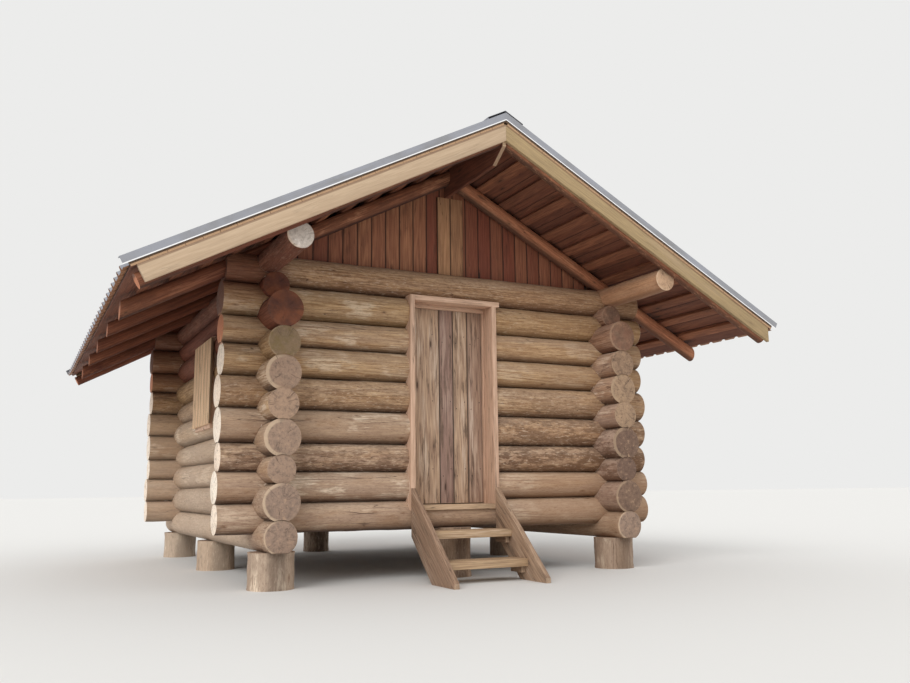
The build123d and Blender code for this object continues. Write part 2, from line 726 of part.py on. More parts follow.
def steps():
    """Two plank stringers, two treads between them and the cleats under the treads."""
    top_y = -WALL_Y - JAMB_FRONT
    nose_y = -WALL_Y - STRINGER_FRONT
    head = THRESHOLD_TOP + STRINGER_UP
    under = head - STRINGER_DEPTH
    pitch = (head - STRINGER_NOSE) / (top_y - nose_y)
    outline = [
        (top_y, head),
        (nose_y, STRINGER_NOSE),
        (nose_y, 0),
        (top_y - under / pitch, 0),
        (top_y, under),
    ]
    stringers = []
    for x in (DOOR_LEFT - PLANK_T, DOOR_RIGHT):
        side = Plane(origin=(x, 0, 0), x_dir=(0, 1, 0), z_dir=(1, 0, 0))
        profile = make_face(side * Polyline(*outline, close=True))
        stringers.append(extrude(profile, amount=PLANK_T, dir=(1, 0, 0)))
    treads = []
    cleats = []
    for top, nose in TREADS:
        y = -WALL_Y - nose
        treads.append(block(DOOR_LEFT, DOOR_RIGHT, y, y + TREAD_D, top - TREAD_T, top))
        foot = top - TREAD_T - CLEAT_H
        for x in (DOOR_LEFT, DOOR_RIGHT - CLEAT_W):
            cleats.append(block(x, x + CLEAT_W, y + CLEAT_H, y + TREAD_D - CLEAT_BACK, foot, top - TREAD_T))
    return stringers, treads, cleats


def flatten(courses):
    """All logs of several courses in one list."""
    return [log for course in courses for log in course]


def save(name, shapes):
    """Write one sub-part, made of one or more solids."""
    solids = [solid for shape in shapes for solid in shape.solids()]
    export_step(solids[0] if len(solids) == 1 else Compound(solids), f"parts/{name}.step")


def save_both_slopes(name, shapes):
    """Write a sub-part of the right roof slope, and the same for the left slope."""
    save(f"right_{name}", shapes)
    save(f"left_{name}", to_other_side(shapes))


def main():
    """Build every sub-part and write it."""
    os.makedirs("parts", exist_ok=True)
    corner, middle = piers()
    save("corner_piers", corner)
    save("middle_piers", middle)
    left = side_wall(-1)
    right = side_wall(1)
    save("side_sill_logs", left[0] + right[0])
    save("left_wall_logs", flatten(left[1:]))
    save("right_wall_logs", flatten(right[1:]))
    save("left_plate_log", plate(-1))
    save("right_plate_log", plate(1))
    front = end_wall(-1)
    rear = end_wall(1)
    centre = (DOOR_LEFT + DOOR_RIGHT) / 2
    save("front_sill_log", front[0])
    save("front_wall_logs_left", [log for log in flatten(front[1:-1]) if log.center().X < centre])
    save("front_wall_logs_right", [log for log in flatten(front[1:-1]) if log.center().X > centre])
    save("rear_sill_log", rear[0])
    save("rear_wall_logs", flatten(rear[1:-1]))
    save("header_logs", front[-1] + rear[-1])
    save("floor_joists", joist_boxes())
    save("floor_boards", floor_boards())
    jambs, head, threshold = door_frame()
    save("door_jambs", jambs)
    save("door_head", head)
    save("threshold", threshold)
    boards, ledges = door_leaf()
    save("door_boards", boards)
    save("door_ledges", ledges)
    fixed, straps = hinges()
    save("hinge_plates", fixed)
    save("hinge_straps", straps)
    left_frame, left_shutter = window(-1)
    right_frame, right_shutter = window(1)
    save("window_frames", left_frame + right_frame)
    save("left_shutter", left_shutter)
    save("right_shutter", right_shutter)
    save_both_slopes("rafters", rafters())
    save_both_slopes("purlins", purlins())
    save_both_slopes("roof_deck", [roof_deck()])
    save_both_slopes("roof_sheet", [roof_sheet()])
    front_fascia = fascia()
    save("front_fascia", front_fascia)
    save("rear_fascia", to_rear(front_fascia))
    strips, covers = rakes()
    save("rake_strips", strips + to_other_side(strips))
    save("rake_flashing", covers + to_other_side(covers))
    save("ridge_cap", [ridge_cap()])
    save("ridge_beam", [ridge_beam()])
    boards, posts = gable_boards()
    save("front_gable_boards", boards)
    save("rear_gable_boards", to_rear(boards))
    save("gable_posts", posts + to_rear(posts))
    stringers, treads, cleats = steps()
    save("step_stringers", stringers)
    save("step_treads", treads)
    save("step_cleats", cleats)


main()
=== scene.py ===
"""Looks of the log cabin: every sub-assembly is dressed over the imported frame.

Sizes are in metres in the frame's own axes: X to the right along the front wall, Y from the front wall
to the rear wall, Z up, with the origin on level ground midway between the four walls.
"""

import logging
import math
from dataclasses import dataclass, field
from enum import Enum
from typing import Callable, Iterable, Sequence

import bpy
import numpy as np
from mathutils import Matrix, Vector


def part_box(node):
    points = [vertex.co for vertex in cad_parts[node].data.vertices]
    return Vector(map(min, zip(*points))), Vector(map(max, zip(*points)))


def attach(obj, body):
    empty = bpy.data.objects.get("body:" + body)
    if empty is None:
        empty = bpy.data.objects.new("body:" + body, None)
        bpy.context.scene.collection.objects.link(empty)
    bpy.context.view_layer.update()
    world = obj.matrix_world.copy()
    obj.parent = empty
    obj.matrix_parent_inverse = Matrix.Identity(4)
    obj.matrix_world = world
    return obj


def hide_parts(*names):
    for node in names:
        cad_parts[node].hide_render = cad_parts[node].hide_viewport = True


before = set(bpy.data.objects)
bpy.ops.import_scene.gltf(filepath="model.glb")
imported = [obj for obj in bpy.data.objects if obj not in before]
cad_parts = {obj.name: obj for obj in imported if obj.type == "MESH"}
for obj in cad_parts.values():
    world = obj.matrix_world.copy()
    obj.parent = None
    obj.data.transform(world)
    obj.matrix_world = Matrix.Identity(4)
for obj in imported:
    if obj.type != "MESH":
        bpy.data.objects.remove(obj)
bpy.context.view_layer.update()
notes = logging.getLogger("log_cabin")

Colour = tuple[float, float, float]
Shades = Sequence[tuple[float, float]]
Piece = bpy.types.Object

ROOF_ANGLE = math.radians(27.97)
ROOF_RUN, ROOF_RISE = math.cos(ROOF_ANGLE), math.sin(ROOF_ANGLE)
DOWN_RIGHT = Vector((ROOF_RUN, 0.0, -ROOF_RISE))
DOWN_LEFT = Vector((-ROOF_RUN, 0.0, -ROOF_RISE))
CABIN = "cabin"
DOOR = "door"
# Distance at which loose corners are merged, and angles: of a flat seam, of an edge that wears
MERGE = 0.00002
FLAT, WORN = math.radians(0.3), math.radians(30)
# How squarely a face looks along its timber: a log's sawn end, a sawn end, and one that is partly so
LOG_END, SAWN, SLANTED = 0.95, 0.93, 0.3
# Where a timber's grain starts, and over what length that is left to chance
GRAIN_START, GRAIN_SPAN = 5.0, 20.0
# Rise of a direction that counts as upright, and how much longer a sloping axis has to be than a straight one
UPRIGHT, SLOPE_SHARE = 0.99, 0.97
# Degrees between faces above which an edge stays sharp
SHARP_LOG, SHARP_BOARD, SHARP_STUMP = 38, 40, 50
# A nail head: its sides, what of it looks up, and how far its crown is set in and raised
HEAD_SIDES, HEAD_UP, CROWN_INSET, CROWN_RISE = 8, 0.9, 0.3, 0.35


class Axis(Enum):
    """Direction that a timber runs in."""

    ACROSS = (1.0, 0.0, 0.0)
    DEEP = (0.0, 1.0, 0.0)
    UP = (0.0, 0.0, 1.0)
    SLOPE_RIGHT = tuple(DOWN_RIGHT)
    SLOPE_LEFT = tuple(DOWN_LEFT)
    STEP_SLOPE = (0.0, 0.782, 0.624)


def linear(colour: Colour) -> tuple[float, float, float, float]:
    """Turn a displayed colour of 0 to 255 per channel into the linear colour that shaders take.

    Args:
        colour: red, green and blue as displayed.

    Returns:
        The linear colour with an alpha of 1.
    """
    channels = (value / 255 for value in colour)
    return (*(part / 12.92 if part <= 0.04045 else ((part + 0.055) / 1.055) ** 2.4 for part in channels), 1.0)


def scaled(colour: Colour, share: float) -> Colour:
    """Return a colour made darker or lighter, up to full brightness."""
    return tuple(min(255.0, value * share) for value in colour)


@dataclass(frozen=True)
class Wire:
    """Output of a node, to be reckoned with like a number."""

    graph: "Graph"
    socket: bpy.types.NodeSocket

    def __add__(self, other: object) -> "Wire":
        """Return the sum."""
        return self.graph.math("ADD", self, other)

    def __sub__(self, other: object) -> "Wire":
        """Return the difference."""
        return self.graph.math("SUBTRACT", self, other)

    def __rsub__(self, other: object) -> "Wire":
        """Return a number less this one."""
        return self.graph.math("SUBTRACT", other, self)

    def __mul__(self, other: object) -> "Wire":
        """Return the product."""
        return self.graph.math("MULTIPLY", self, other)

    def __truediv__(self, other: object) -> "Wire":
        """Return the quotient."""
        return self.graph.math("DIVIDE", self, other)

    def __abs__(self) -> "Wire":
        """Return the size without the sign."""
        return self.graph.math("ABSOLUTE", self)

    def ease(self, low: float, high: float, start: float = 0.0, end: float = 1.0) -> "Wire":
        """Return a level that runs smoothly from start to end while this value goes from low to high."""
        inputs = {"Value": self, "From Min": low, "From Max": high, "To Min": start, "To Max": end}
        return self.graph.wire("ShaderNodeMapRange", inputs, "Result", interpolation_type="SMOOTHSTEP")

    def line(self, width: float) -> "Wire":
        """Return 1 on the thin contour where a pattern passes 0.5, and 0 away from it."""
        return abs(self - 0.5).ease(0.0, width, 1.0, 0.0)


class Graph:
    """Short way to write one material's nodes."""

    def __init__(self, name: str) -> None:
        """Start a material.

        Args:
            name: the material's name.
        """
        self.material = bpy.data.materials.new(name)
        self.material.use_nodes = True
        self.tree = self.material.node_tree
        self.tree.nodes.clear()
        self.shader = self.add("ShaderNodeBsdfPrincipled", {})
        self.add("ShaderNodeOutputMaterial", {"Surface": Wire(self, self.shader.outputs["BSDF"])})

    def add(self, kind: str, inputs: dict, **settings: object) -> bpy.types.Node:
        """Add a node.

        Args:
            kind: the node's type.
            inputs: what its inputs are fed, by name or number.
            settings: values of the node's own properties.

        Returns:
            The new node.
        """
        node = self.tree.nodes.new(kind)
        for key, value in settings.items():
            setattr(node, key, value)
        for key, value in inputs.items():
            self.feed(node.inputs[key], value)
        return node

    def wire(self, kind: str, inputs: dict, output: str | int = 0, **settings: object) -> Wire:
        """Add a node and return one of its outputs; the arguments are those of add and the output's key."""
        return Wire(self, self.add(kind, inputs, **settings).outputs[output])

    def feed(self, socket: bpy.types.NodeSocket, value: object) -> None:
        """Link an input to a wire, or set its value.

        Args:
            socket: the input to feed.
            value: a wire, a number, a vector, or a colour as displayed.
        """
        if isinstance(value, Wire):
            self.tree.links.new(value.socket, socket)
        else:
            socket.default_value = linear(value) if socket.type == "RGBA" else value

    def attribute(self, name: str, output: str = "Fac") -> Wire:
        """Read an attribute that the piece carries."""
        return self.wire("ShaderNodeAttribute", {}, output, attribute_name=name)

    def place(self) -> Wire:
        """Return the object coordinates."""
        return self.wire("ShaderNodeTexCoord", {}, "Object")

    def split(self, vector: Wire) -> list[Wire]:
        """Return the three parts of a vector."""
        return [Wire(self, output) for output in self.add("ShaderNodeSeparateXYZ", {0: vector}).outputs]

    def join(self, *parts: object) -> Wire:
        """Return a vector made of three parts."""
        return self.wire("ShaderNodeCombineXYZ", dict(enumerate(parts)))

    def math(self, operation: str, first: object, second: object = 0.0) -> Wire:
        """Return the result of an operation on one or two numbers."""
        return self.wire("ShaderNodeMath", {0: first, 1: second}, operation=operation)

    def stretch(self, vector: Wire, scale: Colour) -> Wire:
        """Return coordinates scaled by three numbers."""
        return self.wire("ShaderNodeMapping", {"Vector": vector, "Scale": scale})

    def noise(self, vector: Wire, scale: float = 1.0, detail: float = 3.0, rough: float = 0.55) -> Wire:
        """Return a noise pattern about 0.5: features to a unit, its finer layers and how strong those are."""
        inputs = {"Vector": vector, "Scale": scale, "Detail": detail, "Roughness": rough}
        return self.wire("ShaderNodeTexNoise", inputs, "Fac")

    def streaks(
        self, grain: Wire, run: float, across: float, detail: float = 3.0, rough: float = 0.55
    ) -> Wire:
        """Return a noise pattern with this many features to a metre along the grain and across it."""
        return self.noise(self.stretch(grain, (run, across, across)), 1.0, detail, rough)

    def spots(self, vector: Wire) -> Wire:
        """Return the distance to the nearest of many scattered points."""
        return self.wire("ShaderNodeTexVoronoi", {"Vector": vector, "Scale": 1.0}, "Distance")

    def mix(self, share: object, first: object, second: object) -> Wire:
        """Return two colours mixed, with this share of the second one."""
        inputs = {"Factor": share, "A": first, "B": second}
        return self.wire("ShaderNodeMix", inputs, "Result", data_type="RGBA", blend_type="MIX")

    def layers(self, colour: object, *rows: tuple[object, object]) -> Wire:
        """Lay colours over one another.

        Args:
            colour: the lowest colour.
            rows: how much of each further colour shows, and that colour.

        Returns:
            The mixed colour.
        """
        for share, over in rows:
            colour = self.mix(share, colour, over)
        return colour

    def finish(
        self, colour: object, rough: object, height: Wire | None = None, depth: float = 0.0
    ) -> bpy.types.Material:
        """Feed the shader.

        Args:
            colour: the surface colour.
            rough: the surface roughness.
            height: relief from 0 to 1, if it has any.
            depth: how deep the relief is.

        Returns:
            The finished material.
        """
        self.feed(self.shader.inputs["Base Color"], colour)
        self.feed(self.shader.inputs["Roughness"], rough)
        if height is not None:
            inputs = {"Strength": 1.0, "Distance": depth, "Height": height}
            self.feed(self.shader.inputs["Normal"], self.wire("ShaderNodeBump", inputs, "Normal"))
        return self.material


@dataclass(frozen=True)
class PeeledLog:
    """Finish of a peeled log: weathered fibres, bark left on, checks, knots, sawn ends with rings, and
    painted light and shade.
    """

    name: str
    light: Colour = (206, 172, 132)
    dark: Colour = (148, 110, 76)
    grey: Colour = (164, 138, 116)
    brown: Colour = (150, 108, 70)
    low: Colour = (168, 142, 128)
    # Browner colour of sheltered wood under the eaves, darkened as painted shade
    sheltered_and_shaded: Colour = (126, 68, 44)
    bleached: Colour = (226, 206, 182)
    check: Colour = (70, 46, 34)
    bark: Colour = (98, 66, 46)
    # Colour of painted shade under each log and along its seams, with some dirt
    seam_shade_and_dirt: Colour = (88, 58, 40)
    end_light: Colour = (180, 148, 122)
    end_dark: Colour = (142, 120, 106)
    # Colour of sawn ends under the eaves: sheltered wood, darkened as painted shade
    end_sheltered_and_shaded: Colour = (122, 66, 38)
    # Painted highlight on the lit side of a sawn end's rim
    rim: Colour = (216, 190, 160)

    def build(self) -> bpy.types.Material:
        """Make the material.

        Returns:
            The material, which reads the grain, tone, girth, moss and cut attributes.
        """
        g = Graph(self.name)
        grain = g.attribute("grain", "Vector")
        tone, warm, extra = g.split(g.attribute("tone", "Vector"))
        side, rise = g.split(grain)[1:]
        girth, moss, cut = (g.attribute(name) for name in ("girth", "moss", "cut"))
        x, y, z = g.split(g.place())
        fibre = g.streaks(grain, 3.2, 75.0, 4.0, 0.62)
        broad = g.streaks(grain, 0.9, 13.0)
        patch = g.streaks(grain, 1.8, 5.0, 4.0, 0.62)
        island = g.streaks(grain, 5.0, 17.0, 4.0, 0.66)
        speck = g.streaks(grain, 25.0, 160.0, 3.0, 0.65)
        crumb = g.streaks(grain, 16.0, 60.0, 4.0, 0.7)
        wander = g.streaks(grain, 0.75, 11.0, 2.5, 0.5)
        checks = wander.line(0.009) * g.streaks(grain, 1.3, 6.0, 1.0).ease(0.53, 0.6)
        knots = g.spots(g.stretch(grain, (3.1, 7.5, 7.5)))
        height = rise / girth
        # Where the left wall's face, its eave and its lit lower part lie; under the eave the wood is painted
        # darker and redder, partly as painted shade and partly as the browner colour of sheltered wood
        left_face = x.ease(-1.6, -1.8)
        eave = z.ease(2.35, 2.8) * x.ease(-1.6, -1.9, 0.0, 0.8)
        deep_eave = z.ease(2.0, 2.5) * (left_face * y.ease(-2.1, -1.6, 0.0, 0.6))
        # Painted light: the lower part of the left wall is made paler
        lit = z.ease(2.1, 1.5) * (left_face * y.ease(-2.1, -1.9, 0.0, 0.3))
        # Painted shade: low logs on the cabin's right are made darker
        far_side_shade = x.ease(0.3, 1.0) * z.ease(1.25, 0.95, 0.2, 0.42)
        shade = g.math("MAXIMUM", warm, g.math("MAXIMUM", eave, deep_eave))
        pale = patch.ease(0.52, 0.62) * fibre.ease(0.38, 0.56)
        left_bark = island.ease(0.44, 0.54) * extra.ease(0.35, 0.02, 0.0, 0.85)
        # Painted shade along each log's top and bottom, where it meets the logs above and below
        edge = g.math("MAXIMUM", height.ease(-0.72, -0.9), height.ease(0.84, 0.97, 0.0, 0.75))
        ragged = extra.ease(0.45, 0.05, 0.28, 1.0)
        mossy = g.mix(fibre.ease(0.3, 0.7), (128, 98, 58), (178, 144, 94))
        reddened = g.mix(fibre.ease(0.3, 0.7), (92, 48, 32), self.sheltered_and_shaded)
        colour = g.layers(
            g.mix(fibre.ease(0.32, 0.68), self.dark, self.light),
            (broad.ease(0.42, 0.62) * 0.45, self.grey),
            (z.ease(2.1, 0.7, 0.0, 0.42), self.low),
            (tone.ease(0.45, 1.0, 0.0, 0.6), self.grey),
            (tone.ease(0.4, 0.0, 0.0, 0.6), self.brown),
            (pale * extra.ease(0.15, 0.9, 0.1, 0.9), self.bleached),
            (patch.ease(0.46, 0.34, 0.0, 0.4), self.dark),
            (left_bark, self.bark),
            # Painted light: each log's upper half is made paler, with some sun bleaching
            (height.ease(0.0, 0.6, 0.0, 0.16), self.bleached),
            # Painted shade on the underside and at the seams, with some dirt
            (height.ease(-0.4, -0.88, 0.0, 0.6), self.seam_shade_and_dirt),
            (edge * 0.7, scaled(self.seam_shade_and_dirt, 0.64)),
            (moss * 0.7, mossy),
            (knots.ease(0.07, 0.16, 1.0, 0.0) * 0.5, (118, 80, 52)),
            (knots.ease(0.03, 0.07, 1.0, 0.0) * 0.75, (76, 50, 36)),
            (checks * 0.8, self.check),
            (speck.ease(0.54, 0.68, 0.0, 0.5), (96, 68, 50)),
            (ragged * crumb.ease(0.45, 0.34, 0.0, 0.5), self.bleached),
            (ragged * crumb.ease(0.53, 0.64, 0.0, 0.7), scaled(self.dark, 0.66)),
            (far_side_shade, self.dark),
            (lit, self.bleached),
            (shade, reddened),
        )
        relief = fibre * 0.35 + broad * 0.3 + left_bark * crumb.ease(0.3, 0.7, 0.0, 0.9) - checks * 0.5
        end_colour, end_relief = self.sawn_end(g, (side, rise, girth), (x, z), (tone, warm, extra), moss)
        relief = relief * (1.0 - cut) + end_relief * cut
        return g.finish(g.mix(cut, colour, end_colour), fibre.ease(0.3, 0.7, 0.86, 0.74), relief, 0.006)

    def sawn_end(
        self, g: Graph, spot: Sequence[Wire], place: Sequence[Wire], tones: Sequence[Wire], moss: Wire
    ) -> tuple[Wire, Wire]:
        """Colour and relief of a sawn end: year rings, faint checks, mottled weathering, and a pale rim on
        one side as a painted highlight.

        Args:
            g: the graph to add to.
            spot: place across the log and above its axis, and its radius.
            place: X and Z in the cabin.
            tones: the log's own shade, how sheltered it is, and its second shade.
            moss: how mossy the log is.

        Returns:
            The colour and the relief.
        """
        (side, rise, girth), (x, z), (tone, warm, extra) = spot, place, tones
        face = g.join(side, rise, tone * 9.0)
        wobble = g.noise(face, 9.0, 2.0)
        reach = g.math("SQRT", side * side + rise * rise) + wobble * 0.016
        rings = g.math("SINE", reach * 900.0)
        share = reach / girth
        way = (side / reach, rise / reach)
        spokes = g.noise(g.join(*way, extra * 31.0), 2.6, 2.0, 0.65)
        gate = g.noise(g.join(*way, tone * 17.0), 1.7, 0.0)
        splits = spokes.line(0.014) * gate.ease(0.48, 0.58) * share.ease(0.2, 0.5)
        blotch = g.noise(face, 12.0, 6.0, 0.75)
        grime = g.noise(face, 30.0, 5.0, 0.72)
        # Painted highlight: the rim is made pale on its lit side only
        lit_side = (side / girth).ease(0.3, -0.6, 0.05, 0.55)
        mossy = moss.ease(0.62, 0.78, 0.0, 0.85) * blotch.ease(0.3, 0.6, 1.0, 0.45)
        # Under the eave the left ends of the top front logs are painted dark as shade, the course below
        # orange-brown as sheltered wood; sheltered logs' ends turn red-brown, partly painted shade
        under_eave = z.ease(2.13, 2.16, 0.0, 0.95) * x.ease(-2.2, -2.28)
        colour = g.layers(
            g.mix(extra, self.end_dark, self.end_light),
            (blotch.ease(0.5, 0.68, 0.0, 0.55), scaled(self.end_dark, 0.74)),
            (blotch.ease(0.46, 0.32, 0.0, 0.5), scaled(self.end_light, 1.12)),
            (grime.ease(0.48, 0.68, 0.0, 0.5), scaled(self.end_dark, 0.62)),
            (grime.ease(0.44, 0.3, 0.0, 0.35), scaled(self.end_light, 1.2)),
            (rings.ease(0.0, 1.0) * 0.3, scaled(self.end_dark, 0.66)),
            (share.ease(0.9, 1.0) * lit_side, self.rim),
            (mossy, (112, 96, 50)),
            (under_eave, g.mix(z.ease(2.40, 2.43), (192, 120, 82), (100, 58, 40))),
            (warm, g.mix(wobble.ease(0.3, 0.7), (82, 42, 28), self.end_sheltered_and_shaded)),
            (splits * 0.6, (70, 50, 40)),
        )
        return colour, rings * 0.04 - splits * 0.4 + blotch * 0.4


@dataclass(frozen=True)
class SawnBoard:
    """Finish of a sawn board: long grain, knots, weather, dark joints, end grain, and where asked a painted
    shadow along the top edge.
    """

    name: str
    light: Colour
    dark: Colour
    stain: Colour
    knot: Colour = (74, 48, 34)
    spread: float = 0.7
    bleach: float = 0.0
    knots: float = 0.8
    rough: float = 0.78
    joint: float = 0.0
    top_shadow_band: float = 0.0
    checks: float = 0.75
    end: Colour | None = None
    figure: float = 0.1
    dirt: float = 0.3

    def build(self) -> bpy.types.Material:
        """Make the material.

        Returns:
            The material, which reads the grain, tone, girth and cut attributes.
        """
        g = Graph(self.name)
        grain = g.attribute("grain", "Vector")
        tone, warm, extra = g.split(g.attribute("tone", "Vector"))
        side = g.split(grain)[1]
        girth, cut = g.attribute("girth"), g.attribute("cut")
        figure = g.math("SINE", g.streaks(grain, 0.6, 7.0, 1.5, 0.4) * 70.0)
        fibre = g.streaks(grain, 4.0, 150.0, 4.0, 0.6)
        broad = g.streaks(grain, 1.1, 9.0, 3.0, 0.6)
        fine = g.streaks(grain, 14.0, 500.0, 2.0)
        soil = g.streaks(grain, 2.2, 22.0, 5.0, 0.7)
        pores = g.noise(g.stretch(grain, (60.0, 260.0, 900.0)), 1.0, 2.0)
        knots = g.spots(g.stretch(grain, (1.9, 8.5, 5.0)))
        heart = knots.ease(0.05, 0.09, 1.0, 0.0)
        gate = g.streaks(grain, 1.5, 8.0, 1.0).ease(0.5, 0.58)
        checks = g.streaks(grain, 0.8, 24.0, 2.0).line(0.012) * gate
        level = figure.ease(-0.6, 1.0) * self.figure + fibre * (1.0 - self.figure)
        stained = g.mix(fibre.ease(0.3, 0.7), scaled(self.stain, 0.8), self.stain)
        colour = g.layers(
            g.mix(level.ease(0.25, 0.75), self.dark, self.light),
            (tone * self.spread, stained),
            (broad.ease(0.5, 0.72, 0.0, 0.4), self.dark),
        )
        if self.bleach > 0:
            pale = broad.ease(0.5, 0.32) * fibre.ease(0.4, 0.6) * extra.ease(0.0, 1.0, 0.25, 1.0)
            colour = g.mix(pale * self.bleach, colour, (216, 198, 180))
        end_light = self.end or scaled(self.light, 0.98)
        colour = g.layers(
            colour,
            (soil.ease(0.52, 0.66, 0.0, self.dirt), scaled(self.dark, 0.62)),
            (warm, (92, 50, 34)),
            (knots.ease(0.09, 0.19, 1.0, 0.0) * (0.5 * self.knots), self.knot),
            (heart * self.knots, scaled(self.knot, 0.7)),
            (checks * self.checks, scaled(self.knot, 0.6)),
            (cut, g.mix(pores.ease(0.35, 0.65), scaled(end_light, 0.84), end_light)),
        )
        if self.joint > 0:
            line = (girth - abs(side)).ease(self.joint, self.joint * 2, 0.85, 0.0) * (1.0 - cut)
            colour = g.mix(line, colour, scaled(self.dark, 0.45))
        # Painted shadow: a darker band along the board's top edge, as cast by what overhangs it, with some
        # stain
        if self.top_shadow_band > 0:
            band = (girth - side).ease(self.top_shadow_band, self.top_shadow_band * 1.3, 0.6, 0.0)
            colour = g.mix(band, colour, (112, 80, 56))
        relief = fibre * 0.4 + fine * 0.25 - (checks * 0.5 + heart * 0.1)
        return g.finish(colour, fine.ease(0.3, 0.7, self.rough + 0.05, self.rough - 0.05), relief, 0.003)


@dataclass(frozen=True)
class RoofMetal:
    """Finish of the painted roof sheet: a satin grey with dust, rain streaks, and a painted highlight along
    the flashing's hem.
    """

    name: str
    base: Colour = (150, 152, 160)
    dust: Colour = (118, 114, 106)
    hem_highlight: tuple[float, float] | None = None
    under: Colour | None = None
    peak: float = 4.1857

    def build(self) -> bpy.types.Material:
        """Make the material.

        Returns:
            The material, on object coordinates.
        """
        g = Graph(self.name)
        place = g.place()
        x, y, z = g.split(place)
        reach, drop = abs(x), self.peak - z
        down = reach * ROOF_RUN + drop * ROOF_RISE
        over = reach * ROOF_RISE - drop * ROOF_RUN
        streak = g.streaks(g.join(down, y, over), 0.7, 26.0)
        cloud = g.noise(place, 2.4, 4.0, 0.62)
        speck = g.noise(place, 60.0)
        colour = g.layers(
            self.base,
            (cloud.ease(0.4, 0.68, 0.0, 0.35), self.dust),
            (streak.ease(0.54, 0.7, 0.0, 0.3), self.dust),
            (speck.ease(0.62, 0.74, 0.0, 0.25), (92, 86, 76)),
        )
        # Painted highlight: a near-white line along the flashing's lower hem
        if self.hem_highlight:
            low, high = self.hem_highlight
            bright = over.ease(low - 0.001, low) * over.ease(high, high + 0.001, 1.0, 0.0)
            colour = g.mix(bright * 0.95, colour, (246, 245, 245))
        if self.under:
            facing = g.split(g.wire("ShaderNodeNewGeometry", {}, "True Normal"))[2]
            colour = g.mix(facing.ease(0.05, -0.05), colour, self.under)
        return g.finish(colour, cloud.ease(0.3, 0.7, 0.42, 0.6), speck, 0.0006)


@dataclass(frozen=True)
class ForgedIron:
    """Finish of dark ironwork with a little rust."""

    name: str
    base: Colour = (52, 48, 46)
    rust: Colour = (96, 58, 38)

    def build(self) -> bpy.types.Material:
        """Make the material.

        Returns:
            The material, on object coordinates.
        """
        g = Graph(self.name)
        place = g.place()
        cloud = g.noise(place, 38.0, 4.0, 0.65)
        grit = g.noise(place, 420.0, 2.0)
        colour = g.mix(cloud.ease(0.5, 0.68, 0.0, 0.75), self.base, self.rust)
        g.feed(g.shader.inputs["Metallic"], 0.55)
        return g.finish(colour, cloud.ease(0.4, 0.7, 0.5, 0.8), grit, 0.0006)


@dataclass(frozen=True)
class Lay:
    """How one timber lies: its axis, the two directions across it, its half width and its shades."""

    origin: Vector
    along: Vector
    side: Vector
    rise: Vector
    girth: float = 0.1
    warm: float = 0.0
    moss: float = 0.0
    shades: tuple[float, float] | None = None


@dataclass(frozen=True)
class Wave:
    """Cloud pattern by which a trunk swells and sinks."""

    name: str
    size: float
    depth: float
    middle: float = 0.5
    layers: int = 2


def clear_selection() -> None:
    """Deselect every object."""
    if bpy.context.mode != "OBJECT":
        bpy.ops.object.mode_set(mode="OBJECT")
    bpy.ops.object.select_all(action="DESELECT")


def pick(*pieces: Piece) -> Piece:
    """Select only these objects.

    Args:
        pieces: the objects, the first of which becomes the active one.

    Returns:
        The active object.
    """
    clear_selection()
    for piece in pieces:
        piece.select_set(True)
    bpy.context.view_layer.objects.active = pieces[0]
    return pieces[0]


def rename(piece: Piece, name: str) -> Piece:
    """Give an object and its mesh one name.

    Args:
        piece: the object.
        name: its new name.

    Returns:
        The object.
    """
    piece.name = name
    piece.data.name = name
    return piece


def edit(piece: Piece, operator: Callable, settings: Iterable[dict]) -> None:
    """Run an edit-mode operator on a whole mesh, once for each of its settings.

    Args:
        piece: the piece to change.
        operator: the operator.
        settings: the settings of each run.
    """
    pick(piece)
    bpy.ops.object.mode_set(mode="EDIT")
    for chosen in settings:
        bpy.ops.mesh.select_all(action="SELECT")
        operator(**chosen)
    bpy.ops.object.mode_set(mode="OBJECT")


def cut_across(piece: Piece, direction: Sequence[float], points: Iterable[Sequence[float]]) -> None:
    """Cut edges around a piece, in planes of one direction through these points, so that it can swell."""
    edit(piece, bpy.ops.mesh.bisect, [{"plane_co": point, "plane_no": direction} for point in points])


def copy_node(name: str, node: str) -> Piece:
    """Copy a frame node into a new piece and merge its loose triangles.

    Args:
        name: the new piece's name.
        node: the node to copy.

    Returns:
        The new piece, with its place in its mesh.
    """
    piece = bpy.data.objects.new(name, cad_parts[node].data.copy())
    bpy.context.scene.collection.objects.link(piece)
    pick(piece)
    if piece.data.has_custom_normals:
        bpy.ops.mesh.customdata_custom_splitnormals_clear()
    edit(piece, bpy.ops.mesh.remove_doubles, [{"threshold": MERGE}])
    piece.data.materials.clear()
    return rename(piece, name)


def use_modifier(piece: Piece, kind: str, **settings: object) -> None:
    """Add a modifier, set it and apply it.

    Args:
        piece: the piece to change.
        kind: the modifier's type.
        settings: its settings.
    """
    pick(piece)
    bpy.ops.object.modifier_add(type=kind)
    modifier = piece.modifiers[-1]
    for key, value in settings.items():
        setattr(modifier, key, value)
    bpy.ops.object.modifier_apply(modifier=modifier.name)


def swell(piece: Piece, free: Iterable[int], *waves: Wave) -> None:
    """Let the free surface of trunks swell and sink.

    Args:
        piece: the piece.
        free: the vertices that may move.
        waves: the patterns that they move by.
    """
    piece.vertex_groups.new(name="bark").add([int(index) for index in free], 1.0, "REPLACE")
    for wave in waves:
        texture = bpy.data.textures.get(wave.name) or bpy.data.textures.new(wave.name, "CLOUDS")
        texture.noise_scale = wave.size
        texture.noise_depth = wave.layers
        settings = {"texture": texture, "texture_coords": "LOCAL", "vertex_group": "bark"}
        use_modifier(piece, "DISPLACE", strength=wave.depth, mid_level=wave.middle, **settings)
    piece.vertex_groups.clear()


